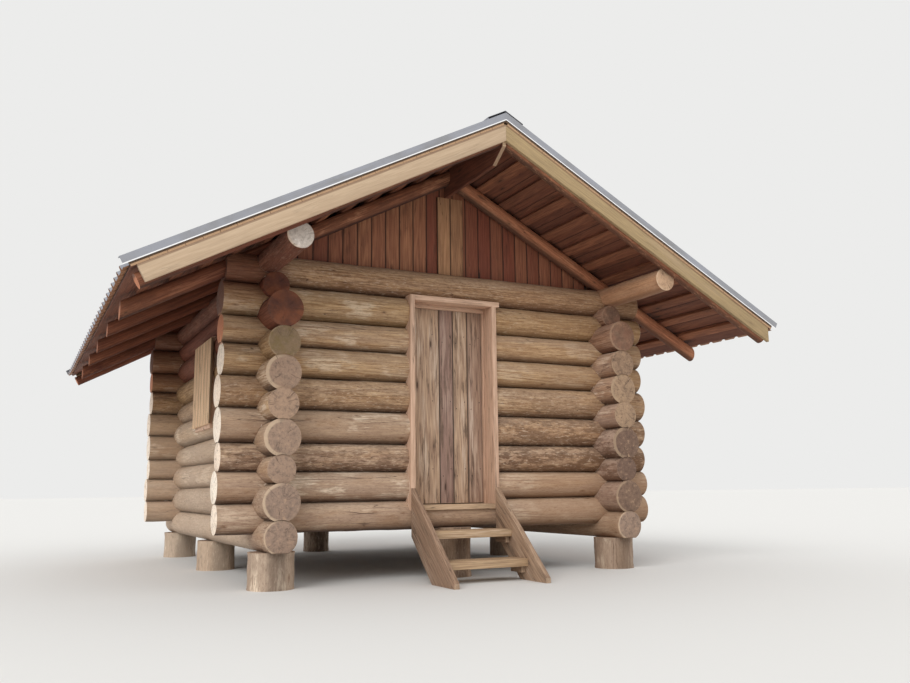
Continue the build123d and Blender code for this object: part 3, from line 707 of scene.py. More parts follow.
def read(items: Sequence, name: str, width: int = 1, kind: type = np.float64) -> np.ndarray:
    """Read one property of many elements of a mesh.

    Args:
        items: the mesh's vertices, edges, faces or corners.
        name: the property.
        width: how many numbers it has.
        kind: their type.

    Returns:
        The numbers, one row for each element if there are several.
    """
    flat = np.empty(len(items) * width, dtype=kind)
    items.foreach_get(name, flat)
    return flat.reshape(-1, width) if width > 1 else flat


def timbers(mesh: bpy.types.Mesh) -> np.ndarray:
    """Number the separate timbers of a mesh.

    Args:
        mesh: a mesh of one or more loose parts.

    Returns:
        The timber's number for each vertex, from 0.
    """
    first, second = read(mesh.edges, "vertices", 2, np.int64).T
    labels = np.arange(len(mesh.vertices))
    while True:
        low = np.minimum(labels[first], labels[second])
        spread = labels.copy()
        np.minimum.at(spread, first, low)
        np.minimum.at(spread, second, low)
        spread = spread[spread]
        if (spread == labels).all():
            return np.unique(labels, return_inverse=True)[1]
        labels = spread


def face_data(mesh: bpy.types.Mesh) -> tuple[np.ndarray, np.ndarray, np.ndarray, np.ndarray]:
    """Read what the corner and face attributes are worked out from.

    Args:
        mesh: the mesh.

    Returns:
        The vertex of each corner, the face of each corner, each face's first vertex, and each face's normal.
    """
    vertex_of = read(mesh.loops, "vertex_index", 1, np.int64)
    starts, totals = (read(mesh.polygons, name, 1, np.int64) for name in ("loop_start", "loop_total"))
    face_of = np.repeat(np.arange(len(mesh.polygons)), totals)
    return vertex_of, face_of, vertex_of[starts], read(mesh.polygons, "normal", 3)


def cross_axes(along: Vector) -> tuple[Vector, Vector]:
    """Find two directions across a timber.

    Args:
        along: the direction that it runs in.

    Returns:
        The level direction, or X for an upright timber, and the other one.
    """
    upright = Vector(Axis.UP.value)
    side = Vector(Axis.ACROSS.value) if abs(along.z) > UPRIGHT else along.cross(upright).normalized()
    return side, side.cross(along).normalized()


def mark_grain(piece: Piece, lay_of: Callable[[np.ndarray], Lay], seed: int, shades: Shades = ()) -> None:
    """Write the attributes that the wood finishes read, timber by timber.

    Args:
        piece: the piece to mark.
        lay_of: gives a timber's lay from its vertices.
        seed: start of the random shades.
        shades: two shades for each timber from left to right, if they aren't left to chance.
    """
    mesh = piece.data
    places, labels = read(mesh.vertices, "co", 3), timbers(mesh)
    vertex_of, _, face_vertex, normals = face_data(mesh)
    corner_label, face_label = labels[vertex_of], labels[face_vertex]
    grain, tone = np.zeros((2, len(vertex_of), 3))
    girth, moss = np.zeros((2, len(vertex_of)))
    cut = np.zeros(len(normals))
    random = np.random.default_rng(seed)
    order = np.argsort([places[labels == label, 0].mean() for label in range(labels.max() + 1)])
    for rank, label in enumerate(order):
        lay = lay_of(places[labels == label])
        *chance, shift = random.random(3)
        shade, extra = lay.shades or (shades[rank % len(shades)] if shades else chance)
        chosen, faces = corner_label == label, face_label == label
        basis = np.array([lay.along, lay.side, lay.rise]).T
        grain[chosen] = (places[vertex_of[chosen]] - np.array(lay.origin)) @ basis
        grain[chosen, 0] += GRAIN_START + GRAIN_SPAN * shift
        tone[chosen] = (shade, lay.warm, extra)
        girth[chosen] = lay.girth
        moss[chosen] = lay.moss
        facing = np.abs(normals[faces] @ np.array(lay.along))
        cut[faces] = np.where(facing > SAWN, 1.0, np.where(facing > SLANTED, 0.5, 0.0))
    for name, kind, domain, values in (
        ("grain", "FLOAT_VECTOR", "CORNER", grain),
        ("tone", "FLOAT_VECTOR", "CORNER", tone),
        ("girth", "FLOAT", "CORNER", girth),
        ("moss", "FLOAT", "CORNER", moss),
        ("cut", "FLOAT", "FACE", cut),
    ):
        layer = mesh.attributes.new(name, kind, domain)
        layer.data.foreach_set("vector" if values.ndim > 1 else "value", values.astype(np.float32).ravel())


def board_lay(points: np.ndarray) -> Lay:
    """Lay of a board: its axis is the direction in which it is longest, its side the one in which it is wide.

    Args:
        points: the board's vertices.

    Returns:
        The board's lay about its middle.
    """
    straight = {axis: 1.0 if axis.value.count(0.0) == 2 else SLOPE_SHARE for axis in Axis}
    best = max(Axis, key=lambda axis: np.ptp(points @ np.array(axis.value)) * straight[axis])
    along = Vector(best.value).normalized()
    side, rise = cross_axes(along)
    wide, tall = (float(np.ptp(points @ np.array(direction))) for direction in (side, rise))
    if tall > wide:
        side, rise, wide = rise, side, tall
    middle = Vector()
    for direction in (along, side, rise):
        run = points @ np.array(direction)
        middle += direction * float((run.min() + run.max()) / 2)
    return Lay(middle, along, side, rise, wide / 2)


def place_copies(name: str, model: Piece, places: Sequence[Matrix]) -> Piece:
    """Copy a small model to many places, each copy with its own mesh, and join them.

    Args:
        name: the joined piece's name.
        model: the model at the origin; it is removed.
        places: where each copy goes.

    Returns:
        The joined piece.
    """
    copies = []
    for place in places:
        mesh = model.data.copy()
        mesh.transform(place)
        copies.append(bpy.data.objects.new(name, mesh))
        bpy.context.scene.collection.objects.link(copies[-1])
    bpy.data.objects.remove(model)
    piece = pick(*copies)
    bpy.ops.object.join()
    return rename(piece, name)


def nail_head(radius: float, height: float) -> Piece:
    """Model one nail or screw head: a disc with a raised, inset crown.

    Args:
        radius: the head's radius.
        height: the head's height.

    Returns:
        The head at the origin, its crown towards +Z.
    """
    clear_selection()
    size = {"vertices": HEAD_SIDES, "radius": radius, "depth": height}
    bpy.ops.mesh.primitive_cylinder_add(location=(0, 0, height / 2), **size)
    head = bpy.context.object
    for face in head.data.polygons:
        face.select = face.normal.z > HEAD_UP
    for edge in head.data.edges:
        edge.select = False
    bpy.ops.object.mode_set(mode="EDIT")
    bpy.ops.mesh.select_mode(type="FACE")
    bpy.ops.mesh.inset(thickness=radius * CROWN_INSET, depth=height * CROWN_RISE)
    bpy.ops.object.mode_set(mode="OBJECT")
    bpy.ops.object.transform_apply(location=True, rotation=True, scale=True)
    return head


@dataclass
class Assembly:
    """One sub-assembly of the cabin, made of dressed pieces."""

    wood: dict[str, bpy.types.Material]
    made: list[str] = field(default_factory=list)

    def settle(
        self, piece: Piece, finish: str, slot: str, body: str = CABIN, nodes: Sequence[str] = ()
    ) -> None:
        """Dress a piece and let it ride.

        Args:
            piece: the piece.
            finish: its finish.
            slot: the record's slot that it belongs to; not used.
            body: the body that it rides on.
            nodes: the frame nodes that it stands for.
        """
        piece.data.materials.clear()
        piece.data.materials.append(self.wood[finish])
        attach(piece, body)
        if nodes:
            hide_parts(*nodes)
        self.made.append(piece.name)
        notes.info("%s: %d faces", piece.name, len(piece.data.polygons))

    def smooth(self, piece: Piece, degrees: float) -> None:
        """Shade a piece smooth, but for edges sharper than an angle."""
        pick(piece)
        bpy.ops.object.shade_smooth_by_angle(angle=math.radians(degrees))

    def boards(
        self,
        name: str,
        node: str,
        finish: str,
        slot: str,
        seed: int,
        edge: float = 0.002,
        shades: Shades = (),
        body: str = CABIN,
    ) -> None:
        """Dress boards of the frame: edges worn round and grain along each board.

        Args:
            name: the new piece's name.
            node: the node that it is made from and stands for.
            finish: its finish.
            slot: the record's slot.
            seed: start of the random shades.
            edge: how far the edges are worn.
            shades: two shades for each board from left to right, if they aren't left to chance.
            body: the body that it rides on.
        """
        piece = copy_node(name, node)
        edit(piece, bpy.ops.mesh.dissolve_limited, [{"angle_limit": FLAT}])
        worn = {"segments": 2, "limit_method": "ANGLE", "angle_limit": WORN}
        use_modifier(piece, "BEVEL", width=edge, harden_normals=False, **worn)
        mark_grain(piece, board_lay, seed, shades)
        self.smooth(piece, SHARP_BOARD)
        self.settle(piece, finish, slot, body, [node])

    def repaint(self, node: str, finish: str) -> None:
        """Give a frame node that stays a better finish.

        Args:
            node: the node.
            finish: its finish.
        """
        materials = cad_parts[node].data.materials
        materials.clear()
        materials.append(self.wood[finish])
        notes.info("%s: repainted", node)


@dataclass(frozen=True)
class LogAxis:
    """Axis and radii of one log, as it lies in its wall."""

    along: Axis
    across: float
    height: float
    half_length: float
    r_start: float
    r_end: float
    warm: float = 0.0
    moss: float = 0.0
    course: int = 0

    def radius_at(self, run: np.ndarray) -> np.ndarray:
        """Return the radius at places along the log."""
        share = (run + self.half_length) / (2 * self.half_length)
        return self.r_start + (self.r_end - self.r_start) * share

    def spread(self, points: np.ndarray) -> tuple[np.ndarray, np.ndarray]:
        """Split points into their run along the axis and their offset from it.

        Args:
            points: places, one row each.

        Returns:
            The run of each point, and its offset as a row.
        """
        run, across = (1, 0) if self.along is Axis.DEEP else (0, 1)
        offset = points.copy()
        offset[:, run] = 0.0
        offset[:, across] -= self.across
        offset[:, 2] -= self.height
        return points[:, run], offset

    def lay(self, shades: Shades) -> Lay:
        """Work out how the log lies.

        Args:
            shades: two shades for each course, from the sill up, if they aren't left to chance.

        Returns:
            The log's lay.
        """
        own = shades[self.course] if self.course < len(shades) else None
        place = (self.across, 0.0) if self.along is Axis.DEEP else (0.0, self.across)
        middle, along = Vector((*place, self.height)), Vector(self.along.value)
        radius = (self.r_start + self.r_end) / 2
        return Lay(middle, along, *cross_axes(along), radius, self.warm, self.moss, own)


@dataclass
class LogWork(Assembly):
    """The scribed log walls, header logs and plate logs, their courses counted from the sill up."""

    wall_x: float = 1.840
    wall_y: float = 2.150
    pier_top: float = 0.315
    side_reach: float = 2.574
    front_reach: float = 2.316
    front_taper: float = 0.006
    top_out: float = 0.030
    plate_out: float = 0.071
    plate_z: float = 2.915
    plate_r: float = 0.115
    plate_reach: float = 3.235
    # Shares of the eave colour, sheltered wood partly painted as shade, for the plate logs, the header logs
    # and, as a factor, the right wall
    plate_warm: float = 0.12
    header_warm: float = 0.22
    right_warm: float = 0.35
    mossy_course: int = 6
    mossy: float = 0.8
    spacing: float = 0.085
    deep_cuts: float = 2.50
    wide_cuts: float = 2.22
    plate_cuts: float = 3.15
    rim: float = 0.007
    on_bark: float = 0.004
    outward: float = 0.9
    waves: tuple[Wave, Wave] = (
        Wave("trunk_swell", 0.42, 0.012, layers=1),
        Wave("knot_swell", 0.13, 0.012 * 0.45, layers=1),
    )
    # Share of the eave colour for each side course, from the sill up: sheltered wood, partly painted shade
    shelter_and_shade: tuple[float, ...] = (0.0, 0.0, 0.0, 0.0, 0.0, 0.05, 0.1, 0.96, 1.0)
    front_moss: tuple[float, ...] = (0.0, 0.0, 0.0, 0.0, 0.1, 0.3, 0.1, 0.5, 0.2)
    left_shades: Shades = (
        (0.75, 0.45), (0.80, 0.90), (0.62, 0.17), (0.90, 0.70), (0.30, 0.22),
        (0.50, 0.62), (0.55, 0.62), (0.32, 0.75), (0.30, 0.40),
    )
    right_shades: Shades = (
        (0.45, 0.22), (0.50, 0.50), (0.25, 0.00), (0.20, 0.14), (0.38, 0.21),
        (0.45, 0.45), (0.40, 0.45), (0.15, 0.30), (0.30, 0.40),
    )
    side_shades: Shades = (
        (0.85, 0.30), (0.95, 0.25), (0.60, 0.50), (0.80, 0.45), (0.50, 0.85),
        (0.60, 0.55), (0.30, 0.40), (0.20, 0.50), (0.20, 0.50),
    )
    far_shades: Shades = (
        (0.60, 0.50), (0.80, 0.22), (0.90, 0.12), (0.95, 0.15), (0.70, 0.80),
        (0.55, 0.85), (0.45, 0.60), (0.25, 0.35), (0.30, 0.30),
    )
    side_courses: tuple[tuple[float, float, float], ...] = (
        (0.130, 0.150, 0.150), (0.423, 0.165, 0.152), (0.706, 0.127, 0.160),
        (0.977, 0.165, 0.130), (1.270, 0.138, 0.172), (1.547, 0.160, 0.130),
        (1.817, 0.145, 0.160), (2.115, 0.162, 0.150), (2.370, 0.122, 0.122),
    )
    front_courses: tuple[tuple[float, float], ...] = (
        (0.283, 0.140), (0.555, 0.139), (0.821, 0.136), (1.102, 0.155), (1.403, 0.155),
        (1.693, 0.144), (1.966, 0.139), (2.248, 0.153), (2.545, 0.148),
    )

    def axes(self) -> list[LogAxis]:
        """List the axes of the logs.

        Returns:
            The axes of the side, plate, front and rear logs.
        """
        found = []
        top = len(self.front_courses) - 1
        for side in (-1, 1):
            for index, (height, front, rear) in enumerate(self.side_courses):
                across = side * (self.wall_x + (self.top_out if index == top else 0.0))
                warm = self.shelter_and_shade[index] * (1.0 if side < 0 else self.right_warm)
                moss = self.mossy if side < 0 and index == self.mossy_course else 0.0
                size = (across, self.pier_top + height, self.side_reach, front, rear)
                found.append(LogAxis(Axis.DEEP, *size, warm, moss, index))
            across, radii = side * (self.wall_x + self.plate_out), (self.plate_r, self.plate_r)
            size = (across, self.plate_z, self.plate_reach, *radii)
            found.append(LogAxis(Axis.DEEP, *size, self.plate_warm))
        for face in (-1, 1):
            for index, ((height, radius), moss) in enumerate(zip(self.front_courses, self.front_moss)):
                taper = self.front_taper if index % 2 else -self.front_taper
                warm = self.header_warm if index == top else 0.0
                across, radii = face * self.wall_y, (radius + taper, radius - taper)
                size = (across, self.pier_top + height, self.front_reach, *radii)
                found.append(LogAxis(Axis.ACROSS, *size, warm, moss, index))
        return found

    def axis_for(self, points: np.ndarray, along: Axis) -> LogAxis:
        """Find the axis of the log that some vertices belong to.

        Args:
            points: the log's vertices.
            along: the direction that it runs in.

        Returns:
            The nearest axis of that direction.
        """
        middle = (points.min(axis=0) + points.max(axis=0)) / 2
        across = middle[0] if along is Axis.DEEP else middle[1]
        return min(
            (axis for axis in self.axes() if axis.along is along),
            key=lambda axis: abs(axis.across - across) + abs(axis.height - middle[2]),
        )

    def ease_rims(self, piece: Piece, along: Axis) -> None:
        """Round the rims of the sawn ends a little.

        Args:
            piece: the piece.
            along: the direction that its logs run in.
        """
        mesh = piece.data
        _, face_of, _, normals = face_data(mesh)
        end = np.abs(normals @ np.array(along.value)) > LOG_END
        edge_of = read(mesh.loops, "edge_index", 1, np.int64)
        sides = np.bincount(edge_of, minlength=len(mesh.edges))
        end_sides = np.bincount(edge_of[end[face_of]], minlength=len(mesh.edges))
        rim = (end_sides == 1) & (sides == 2)
        layer = mesh.attributes.new("bevel_weight_edge", "FLOAT", "EDGE")
        layer.data.foreach_set("value", rim.astype(np.float32))
        use_modifier(piece, "BEVEL", width=self.rim, segments=2, limit_method="WEIGHT")

    def free_vertices(self, piece: Piece, along: Axis) -> np.ndarray:
        """List the vertices of the round, unscribed surface.

        Args:
            piece: the piece.
            along: the direction that its logs run in.

        Returns:
            The vertices whose faces all lie on the bark side or a sawn end.
        """
        mesh = piece.data
        places, labels = read(mesh.vertices, "co", 3), timbers(mesh)
        vertex_of, face_of, face_vertex, normals = face_data(mesh)
        centres = read(mesh.polygons, "center", 3)
        face_label = labels[face_vertex]
        free = np.zeros(len(centres), dtype=bool)
        for label in range(labels.max() + 1):
            axis = self.axis_for(places[labels == label], along)
            faces = face_label == label
            run, offset = axis.spread(centres[faces])
            reach = np.linalg.norm(offset, axis=1)
            facing = (offset * normals[faces]).sum(axis=1) / np.maximum(reach, 1e-6)
            on_bark = np.abs(reach - axis.radius_at(run)) < self.on_bark
            end = np.abs(normals[faces] @ np.array(along.value)) > LOG_END
            free[faces] = (on_bark & (facing > self.outward)) | end
        held = np.zeros(len(mesh.vertices), dtype=bool)
        held[vertex_of[~free[face_of]]] = True
        return np.flatnonzero(~held)

    def wall(
        self,
        name: str,
        node: str,
        along: Axis,
        finish: str,
        seed: int,
        shades: Shades = (),
        slot: str = "wall_log",
    ) -> None:
        """Dress one wall's logs.

        Args:
            name: the new piece's name.
            node: the node that it is made from.
            along: the direction that its logs run in.
            finish: its finish.
            seed: start of the random shades.
            shades: two shades for each course, if they aren't left to chance.
            slot: the record's slot.
        """
        reach = self.deep_cuts if along is Axis.DEEP else self.wide_cuts
        if slot == "plate_log":
            reach = self.plate_cuts
        piece = copy_node(name, node)
        edit(piece, bpy.ops.mesh.dissolve_limited, [{"angle_limit": FLAT}])
        self.ease_rims(piece, along)
        count = int(2 * reach / self.spacing)
        runs = [-reach + 2 * reach * index / count for index in range(count + 1)]
        cut_across(piece, along.value, [[run * part for part in along.value] for run in runs])
        swell(piece, self.free_vertices(piece, along), *self.waves)
        mark_grain(piece, lambda points: self.axis_for(points, along).lay(shades), seed)
        self.smooth(piece, SHARP_LOG)
        self.settle(piece, finish, slot, CABIN, [node])

    def build(self) -> None:
        """Dress every log."""
        deep, wide = Axis.DEEP, Axis.ACROSS
        self.wall("logs_side_sills", "side_sill_logs", deep, "log", 3, self.side_shades)
        self.wall("logs_left_wall", "left_wall_logs", deep, "log", 5, self.side_shades)
        self.wall("logs_right_wall", "right_wall_logs", deep, "log_right", 8, self.far_shades)
        self.wall("logs_front_sill", "front_sill_log", wide, "log_cross", 11, self.left_shades)
        self.wall("logs_front_left", "front_wall_logs_left", wide, "log_cross", 14, self.left_shades)
        self.wall("logs_front_right", "front_wall_logs_right", wide, "log_cross", 17, self.right_shades)
        self.wall("logs_rear_sill", "rear_sill_log", wide, "log_cross", 20)
        self.wall("logs_rear_wall", "rear_wall_logs", wide, "log_cross", 23)
        self.wall("logs_headers", "header_logs", wide, "log_cross", 26)
        self.wall("log_left_plate", "left_plate_log", deep, "plate", 31, slot="plate_log")
        self.wall("log_right_plate", "right_plate_log", deep, "plate_right", 36, slot="plate_log")


@dataclass
class Piers(Assembly):
    """The upright log stumps under the walls."""

    rings: int = 5
    foot_held: float = 0.01
    head_held: float = 0.005
    wave: Wave = Wave("stump_swell", 0.16, 0.022, 0.75)

    def stumps(self, name: str, node: str, seed: int) -> None:
        """Dress stumps: an uneven trunk with its sawn ends left flat.

        Args:
            name: the new piece's name.
            node: the node that it is made from.
            seed: start of the random shades.
        """
        piece = copy_node(name, node)
        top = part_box(node)[1].z
        heights = (top * index / (self.rings + 1) for index in range(1, self.rings + 1))
        cut_across(piece, Axis.UP.value, [(0, 0, height) for height in heights])
        low, high = self.foot_held, top - self.head_held
        swell(piece, [vertex.index for vertex in piece.data.vertices if low < vertex.co.z < high], self.wave)
        mark_grain(piece, self.stump_lay, seed)
        self.smooth(piece, SHARP_STUMP)
        self.settle(piece, "stump", "pier_log", CABIN, [node])

    def stump_lay(self, points: np.ndarray) -> Lay:
        """Work out how an upright stump lies.

        Args:
            points: the stump's vertices.

        Returns:
            The stump's lay.
        """
        low, high = points.min(axis=0), points.max(axis=0)
        foot, along = Vector((*(low + high)[:2] / 2, 0.0)), Vector(Axis.UP.value)
        return Lay(foot, along, *cross_axes(along), float(high[0] - low[0]) / 2)

    def build(self) -> None:
        """Dress every stump."""
        self.stumps("stumps_corner", "corner_piers", 41)
        self.stumps("stumps_middle", "middle_piers", 44)


@dataclass
class Floor(Assembly):
    """Joists and floor boards."""

    def build(self) -> None:
        """Dress the floor."""
        self.boards("floor_joist_set", "floor_joists", "floor", "floor_wood", 51)
        self.boards("floor_board_set", "floor_boards", "floor", "floor_wood", 52, 0.0012)


@dataclass
class Doorway(Assembly):
    """Door frame, the door leaf with its nails, and the hinges."""

    front: float = -2.096
    nail_r: float = 0.0045
    nail_h: float = 0.0012
    proud: float = 0.0002
    board_ends: tuple[float, ...] = (0.425, 0.605, 0.80)
    ledge_heights: tuple[float, ...] = (1.000, 1.675, 2.350)
    nail_spots: Shades = ((0.22, -0.035), (0.78, 0.035))
    shades: Shades = ((0.1, 0.6), (0.9, 0.2), (0.1, 0.9), (0.5, 0.7))

    def nails(self) -> None:
        """Drive two nails through each board at each ledge."""
        places = []
        board_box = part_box("door_boards")
        left, right = board_box[0].x, board_box[1].x
        edges = (left, *(left + share * (right - left) for share in self.board_ends), right)
        for start, stop in zip(edges, edges[1:]):
            for height in self.ledge_heights:
                for share, rise in self.nail_spots:
                    spot = Vector((start + share * (stop - start), self.front + self.proud, height + rise))
                    places.append(Matrix.Translation(spot) @ Matrix.Rotation(math.radians(90), 4, "X"))
        piece = place_copies("door_nails", nail_head(self.nail_r, self.nail_h), places)
        self.settle(piece, "iron", "hinge_iron", DOOR)

    def build(self) -> None:
        """Dress the frame, the leaf and the hinges."""
        self.boards("frame_jambs", "door_jambs", "plank", "door_plank", 61, 0.003)
        self.boards("frame_head", "door_head", "plank", "door_plank", 62, 0.003)
        self.boards("frame_threshold", "threshold", "threshold", "door_plank", 63, 0.004)
        self.boards("leaf_boards", "door_boards", "door", "door_board", 66, 0.0025, self.shades, DOOR)
        self.boards("leaf_ledges", "door_ledges", "door", "door_board", 67, 0.003, body=DOOR)
        self.repaint("hinge_plates", "iron")
        self.repaint("hinge_straps", "iron")
        self.nails()


@dataclass
class Windows(Assembly):
    """Window frames and the board shutters that close them."""

    shutter_boards: int = 6
    nail_r: float = 0.004
    nail_h: float = 0.0012
    sunk: float = 0.0013
    above_foot: float = 0.13
    below_top: float = 0.17
    nail_shift: float = 0.04
    nail_slant: float = 0.5

    def build(self) -> None:
        """Dress the frames and shutters."""
        self.boards("window_plank_frames", "window_frames", "plank", "door_plank", 71, 0.003)
        self.boards("shutter_left", "left_shutter", "shutter", "shutter_board", 72)
        self.boards("shutter_right", "right_shutter", "shutter", "shutter_board", 73)
        places = []
        for side, node in ((-1, "left_shutter"), (1, "right_shutter")):
            low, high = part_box(node)
            face = low.x if side < 0 else high.x
            turn = Matrix.Rotation(side * math.radians(90), 4, "Y")
            for board in range(self.shutter_boards):
                middle = low.y + (board + 0.5) * (high.y - low.y) / self.shutter_boards
                for height in (low.z + self.above_foot, high.z - self.below_top):
                    for shift in (-self.nail_shift, self.nail_shift):
                        rise = height + shift * self.nail_slant
                        spot = Vector((face - side * self.sunk, middle + shift, rise))
                        places.append(Matrix.Translation(spot) @ turn)
        piece = place_copies("shutter_nails", nail_head(self.nail_r, self.nail_h), places)
        self.settle(piece, "iron", "hinge_iron")


@dataclass
class Roof(Assembly):
    """Roof frame, boarding, ribbed metal and gable edges."""

    board: float = 0.145
    thick: float = 0.0195
    gap: float = 0.001
    ridge_gap: float = 0.014
    lift: float = 0.0003
    board_edge: float = 0.0015
    pole_rings: int = 29
    ring_pitch: float = 0.12
    pole_seat: float = 0.03
    wave: Wave = Wave("pole_swell", 0.2, 0.007, 0.6)
    screw_rows: int = 6
    first_row: float = 0.42
    row_pitch: float = 0.6
    ribs: int = 16
    rib_pitch: float = 0.2
    rib_top: float = 0.0586
    screw_r: float = 0.008
    screw_h: float = 0.004

    def peak(self) -> Vector:
        """Return the peak of the roof plane."""
        return Vector((0.0, 0.0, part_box("front_fascia")[1].z))

    def slope(self, side: int) -> tuple[Vector, Vector]:
        """Return the ways down and out of a slope, which is -1 for the left one and 1 for the right one."""
        out = Vector((side * ROOF_RISE, 0.0, ROOF_RUN))
        return (DOWN_RIGHT if side > 0 else DOWN_LEFT), out

    def poles(self, name: str, node: str, axis: Axis, finish: str, seed: int) -> None:
        """Dress the pole rafters of one slope.

        Args:
            name: the new piece's name.
            node: the node that it is made from.
            axis: the slope that the poles lie on.
            finish: its finish.
            seed: start of the random shades.
        """
        piece = copy_node(name, node)
        along = Vector(axis.value)
        steps = (self.ring_pitch * index for index in range(1, self.pole_rings + 1))
        cut_across(piece, axis.value, [self.peak() + along * step for step in steps])
        normal = np.array(cross_axes(along)[1])
        height = read(piece.data.vertices, "co", 3) @ normal
        swell(piece, np.flatnonzero(height < height.max() - self.pole_seat), self.wave)

        def pole_lay(points: np.ndarray) -> Lay:
            """Work out how one pole lies.

            Args:
                points: the pole's vertices.

            Returns:
                The pole's lay.
            """
            rise = points @ normal
            radius = float(np.ptp(points[:, 1])) / 2
            middle = (points.min(axis=0) + points.max(axis=0)) / 2
            middle = middle + normal * (rise.min() + radius - middle @ normal)
            return Lay(Vector(middle), along, *cross_axes(along), radius)

        mark_grain(piece, pole_lay, seed)
        self.smooth(piece, SHARP_LOG)
        self.settle(piece, finish, "rafter_pole", CABIN, [node])

    def deck(self, name: str, node: str, side: int, seed: int) -> None:
        """Lay the boarding of one slope, board by board.

        Args:
            name: the new piece's name.
            node: the node that it stands for.
            side: -1 for the left slope, 1 for the right one.
            seed: start of the random shades.
        """
        low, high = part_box(node)
        down, out = self.slope(side)
        end = (max(abs(low.x), abs(high.x)) - self.thick * ROOF_RISE) / ROOF_RUN
        count = round((end - self.ridge_gap) / self.board)
        width = (end - self.ridge_gap) / count
        clear_selection()
        bpy.ops.mesh.primitive_cube_add(size=1.0, location=(0, 0, 0))
        model = bpy.context.object
        size = (width - self.gap, high.y - low.y - self.gap, self.thick, 1.0)
        model.data.transform(Matrix.Diagonal(size))
        use_modifier(model, "BEVEL", width=self.board_edge, segments=1, limit_method="ANGLE")
        turn = Matrix((down, Vector(Axis.DEEP.value), out)).transposed().to_4x4()
        places = []
        for index in range(count):
            run = self.ridge_gap + (index + 0.5) * width
            spot = self.peak() + down * run + out * (self.lift + self.thick / 2)
            places.append(Matrix.Translation(spot) @ turn)
        piece = place_copies(name, model, places)
        if side < 0:
            edit(piece, bpy.ops.mesh.normals_make_consistent, [{"inside": False}])
        mark_grain(piece, board_lay, seed)
        self.settle(piece, "under_roof", "roof_wood", CABIN, [node])

    def screws(self) -> None:
        """Drive roofing screws through the ribs, over every second batten."""
        places = []
        for side in (-1, 1):
            down, out = self.slope(side)
            turn = Matrix((down, out.cross(down), out)).transposed().to_4x4()
            for row in range(self.screw_rows):
                for rib in range(-self.ribs, self.ribs + 1):
                    spot = self.peak() + down * (self.first_row + self.row_pitch * row) + out * self.rib_top
                    places.append(Matrix.Translation(spot + Vector((0, rib * self.rib_pitch, 0))) @ turn)
        piece = place_copies("roof_screws", nail_head(self.screw_r, self.screw_h), places)
        self.settle(piece, "screw", "roof_metal")

    def build(self) -> None:
        """Dress the whole roof."""
        self.poles("poles_right", "right_rafters", Axis.SLOPE_RIGHT, "rafter_right", 81)
        self.poles("poles_left", "left_rafters", Axis.SLOPE_LEFT, "rafter", 82)
        self.boards("battens_right", "right_purlins", "batten", "roof_wood", 83)
        self.boards("battens_left", "left_purlins", "batten", "roof_wood", 84)
        self.boards("ridge_plank", "ridge_beam", "ridge", "roof_wood", 85, 0.003)
        self.deck("deck_right", "right_roof_deck", 1, 86)
        self.deck("deck_left", "left_roof_deck", -1, 87)
        sides = ((0.0, 0.5), (1.0, 0.5))
        self.boards("gable_edge_front", "front_fascia", "fascia", "fascia_board", 88, shades=sides)
        self.boards("gable_edge_rear", "rear_fascia", "fascia", "fascia_board", 89)
        self.boards("rake_strip_set", "rake_strips", "rake", "roof_wood", 90, 0.0015)
        self.repaint("right_roof_sheet", "sheet")
        self.repaint("left_roof_sheet", "sheet")
        self.repaint("ridge_cap", "cap")
        self.repaint("rake_flashing", "flashing")
        self.screws()


@dataclass
class Gables(Assembly):
    """Board walls of the two gables."""

    tones: tuple[float, ...] = (
        0.9, 0.6, 0.8, 0.5, 0.35, 0.1, 0.3, 0.15, 0.0, 0.2, 0.9, 0.5,
        0.5, 0.8, 0.95, 0.6, 0.9, 0.45, 0.75, 0.5, 0.7, 0.4, 0.6,
    )
    cover_tones: tuple[float, ...] = (0.1, 0.1, 0.6, 0.6)

    def build(self) -> None:
        """Dress the gable boards."""
        for name, node, finish, seed, tones in (
            ("gable_boards_front", "front_gable_boards", "gable", 95, self.tones),
            ("gable_boards_rear", "rear_gable_boards", "gable", 96, ()),
            ("gable_cover_boards", "gable_posts", "cover", 97, self.cover_tones),
        ):
            self.boards(name, node, finish, "gable_board", seed, 0.0015, [(tone, 0.5) for tone in tones])


@dataclass
class Steps(Assembly):
    """Stringers, treads and cleats of the steps."""

    shades: Shades = ((0.7, 0.4), (0.35, 0.6))

    def build(self) -> None:
        """Dress the steps."""
        self.boards("step_stringer_set", "step_stringers", "step", "step_plank", 101, 0.004, self.shades)
        self.boards("step_tread_set", "step_treads", "tread", "step_plank", 102, 0.006)
        self.boards("step_cleat_set", "step_cleats", "step", "step_plank", 103)


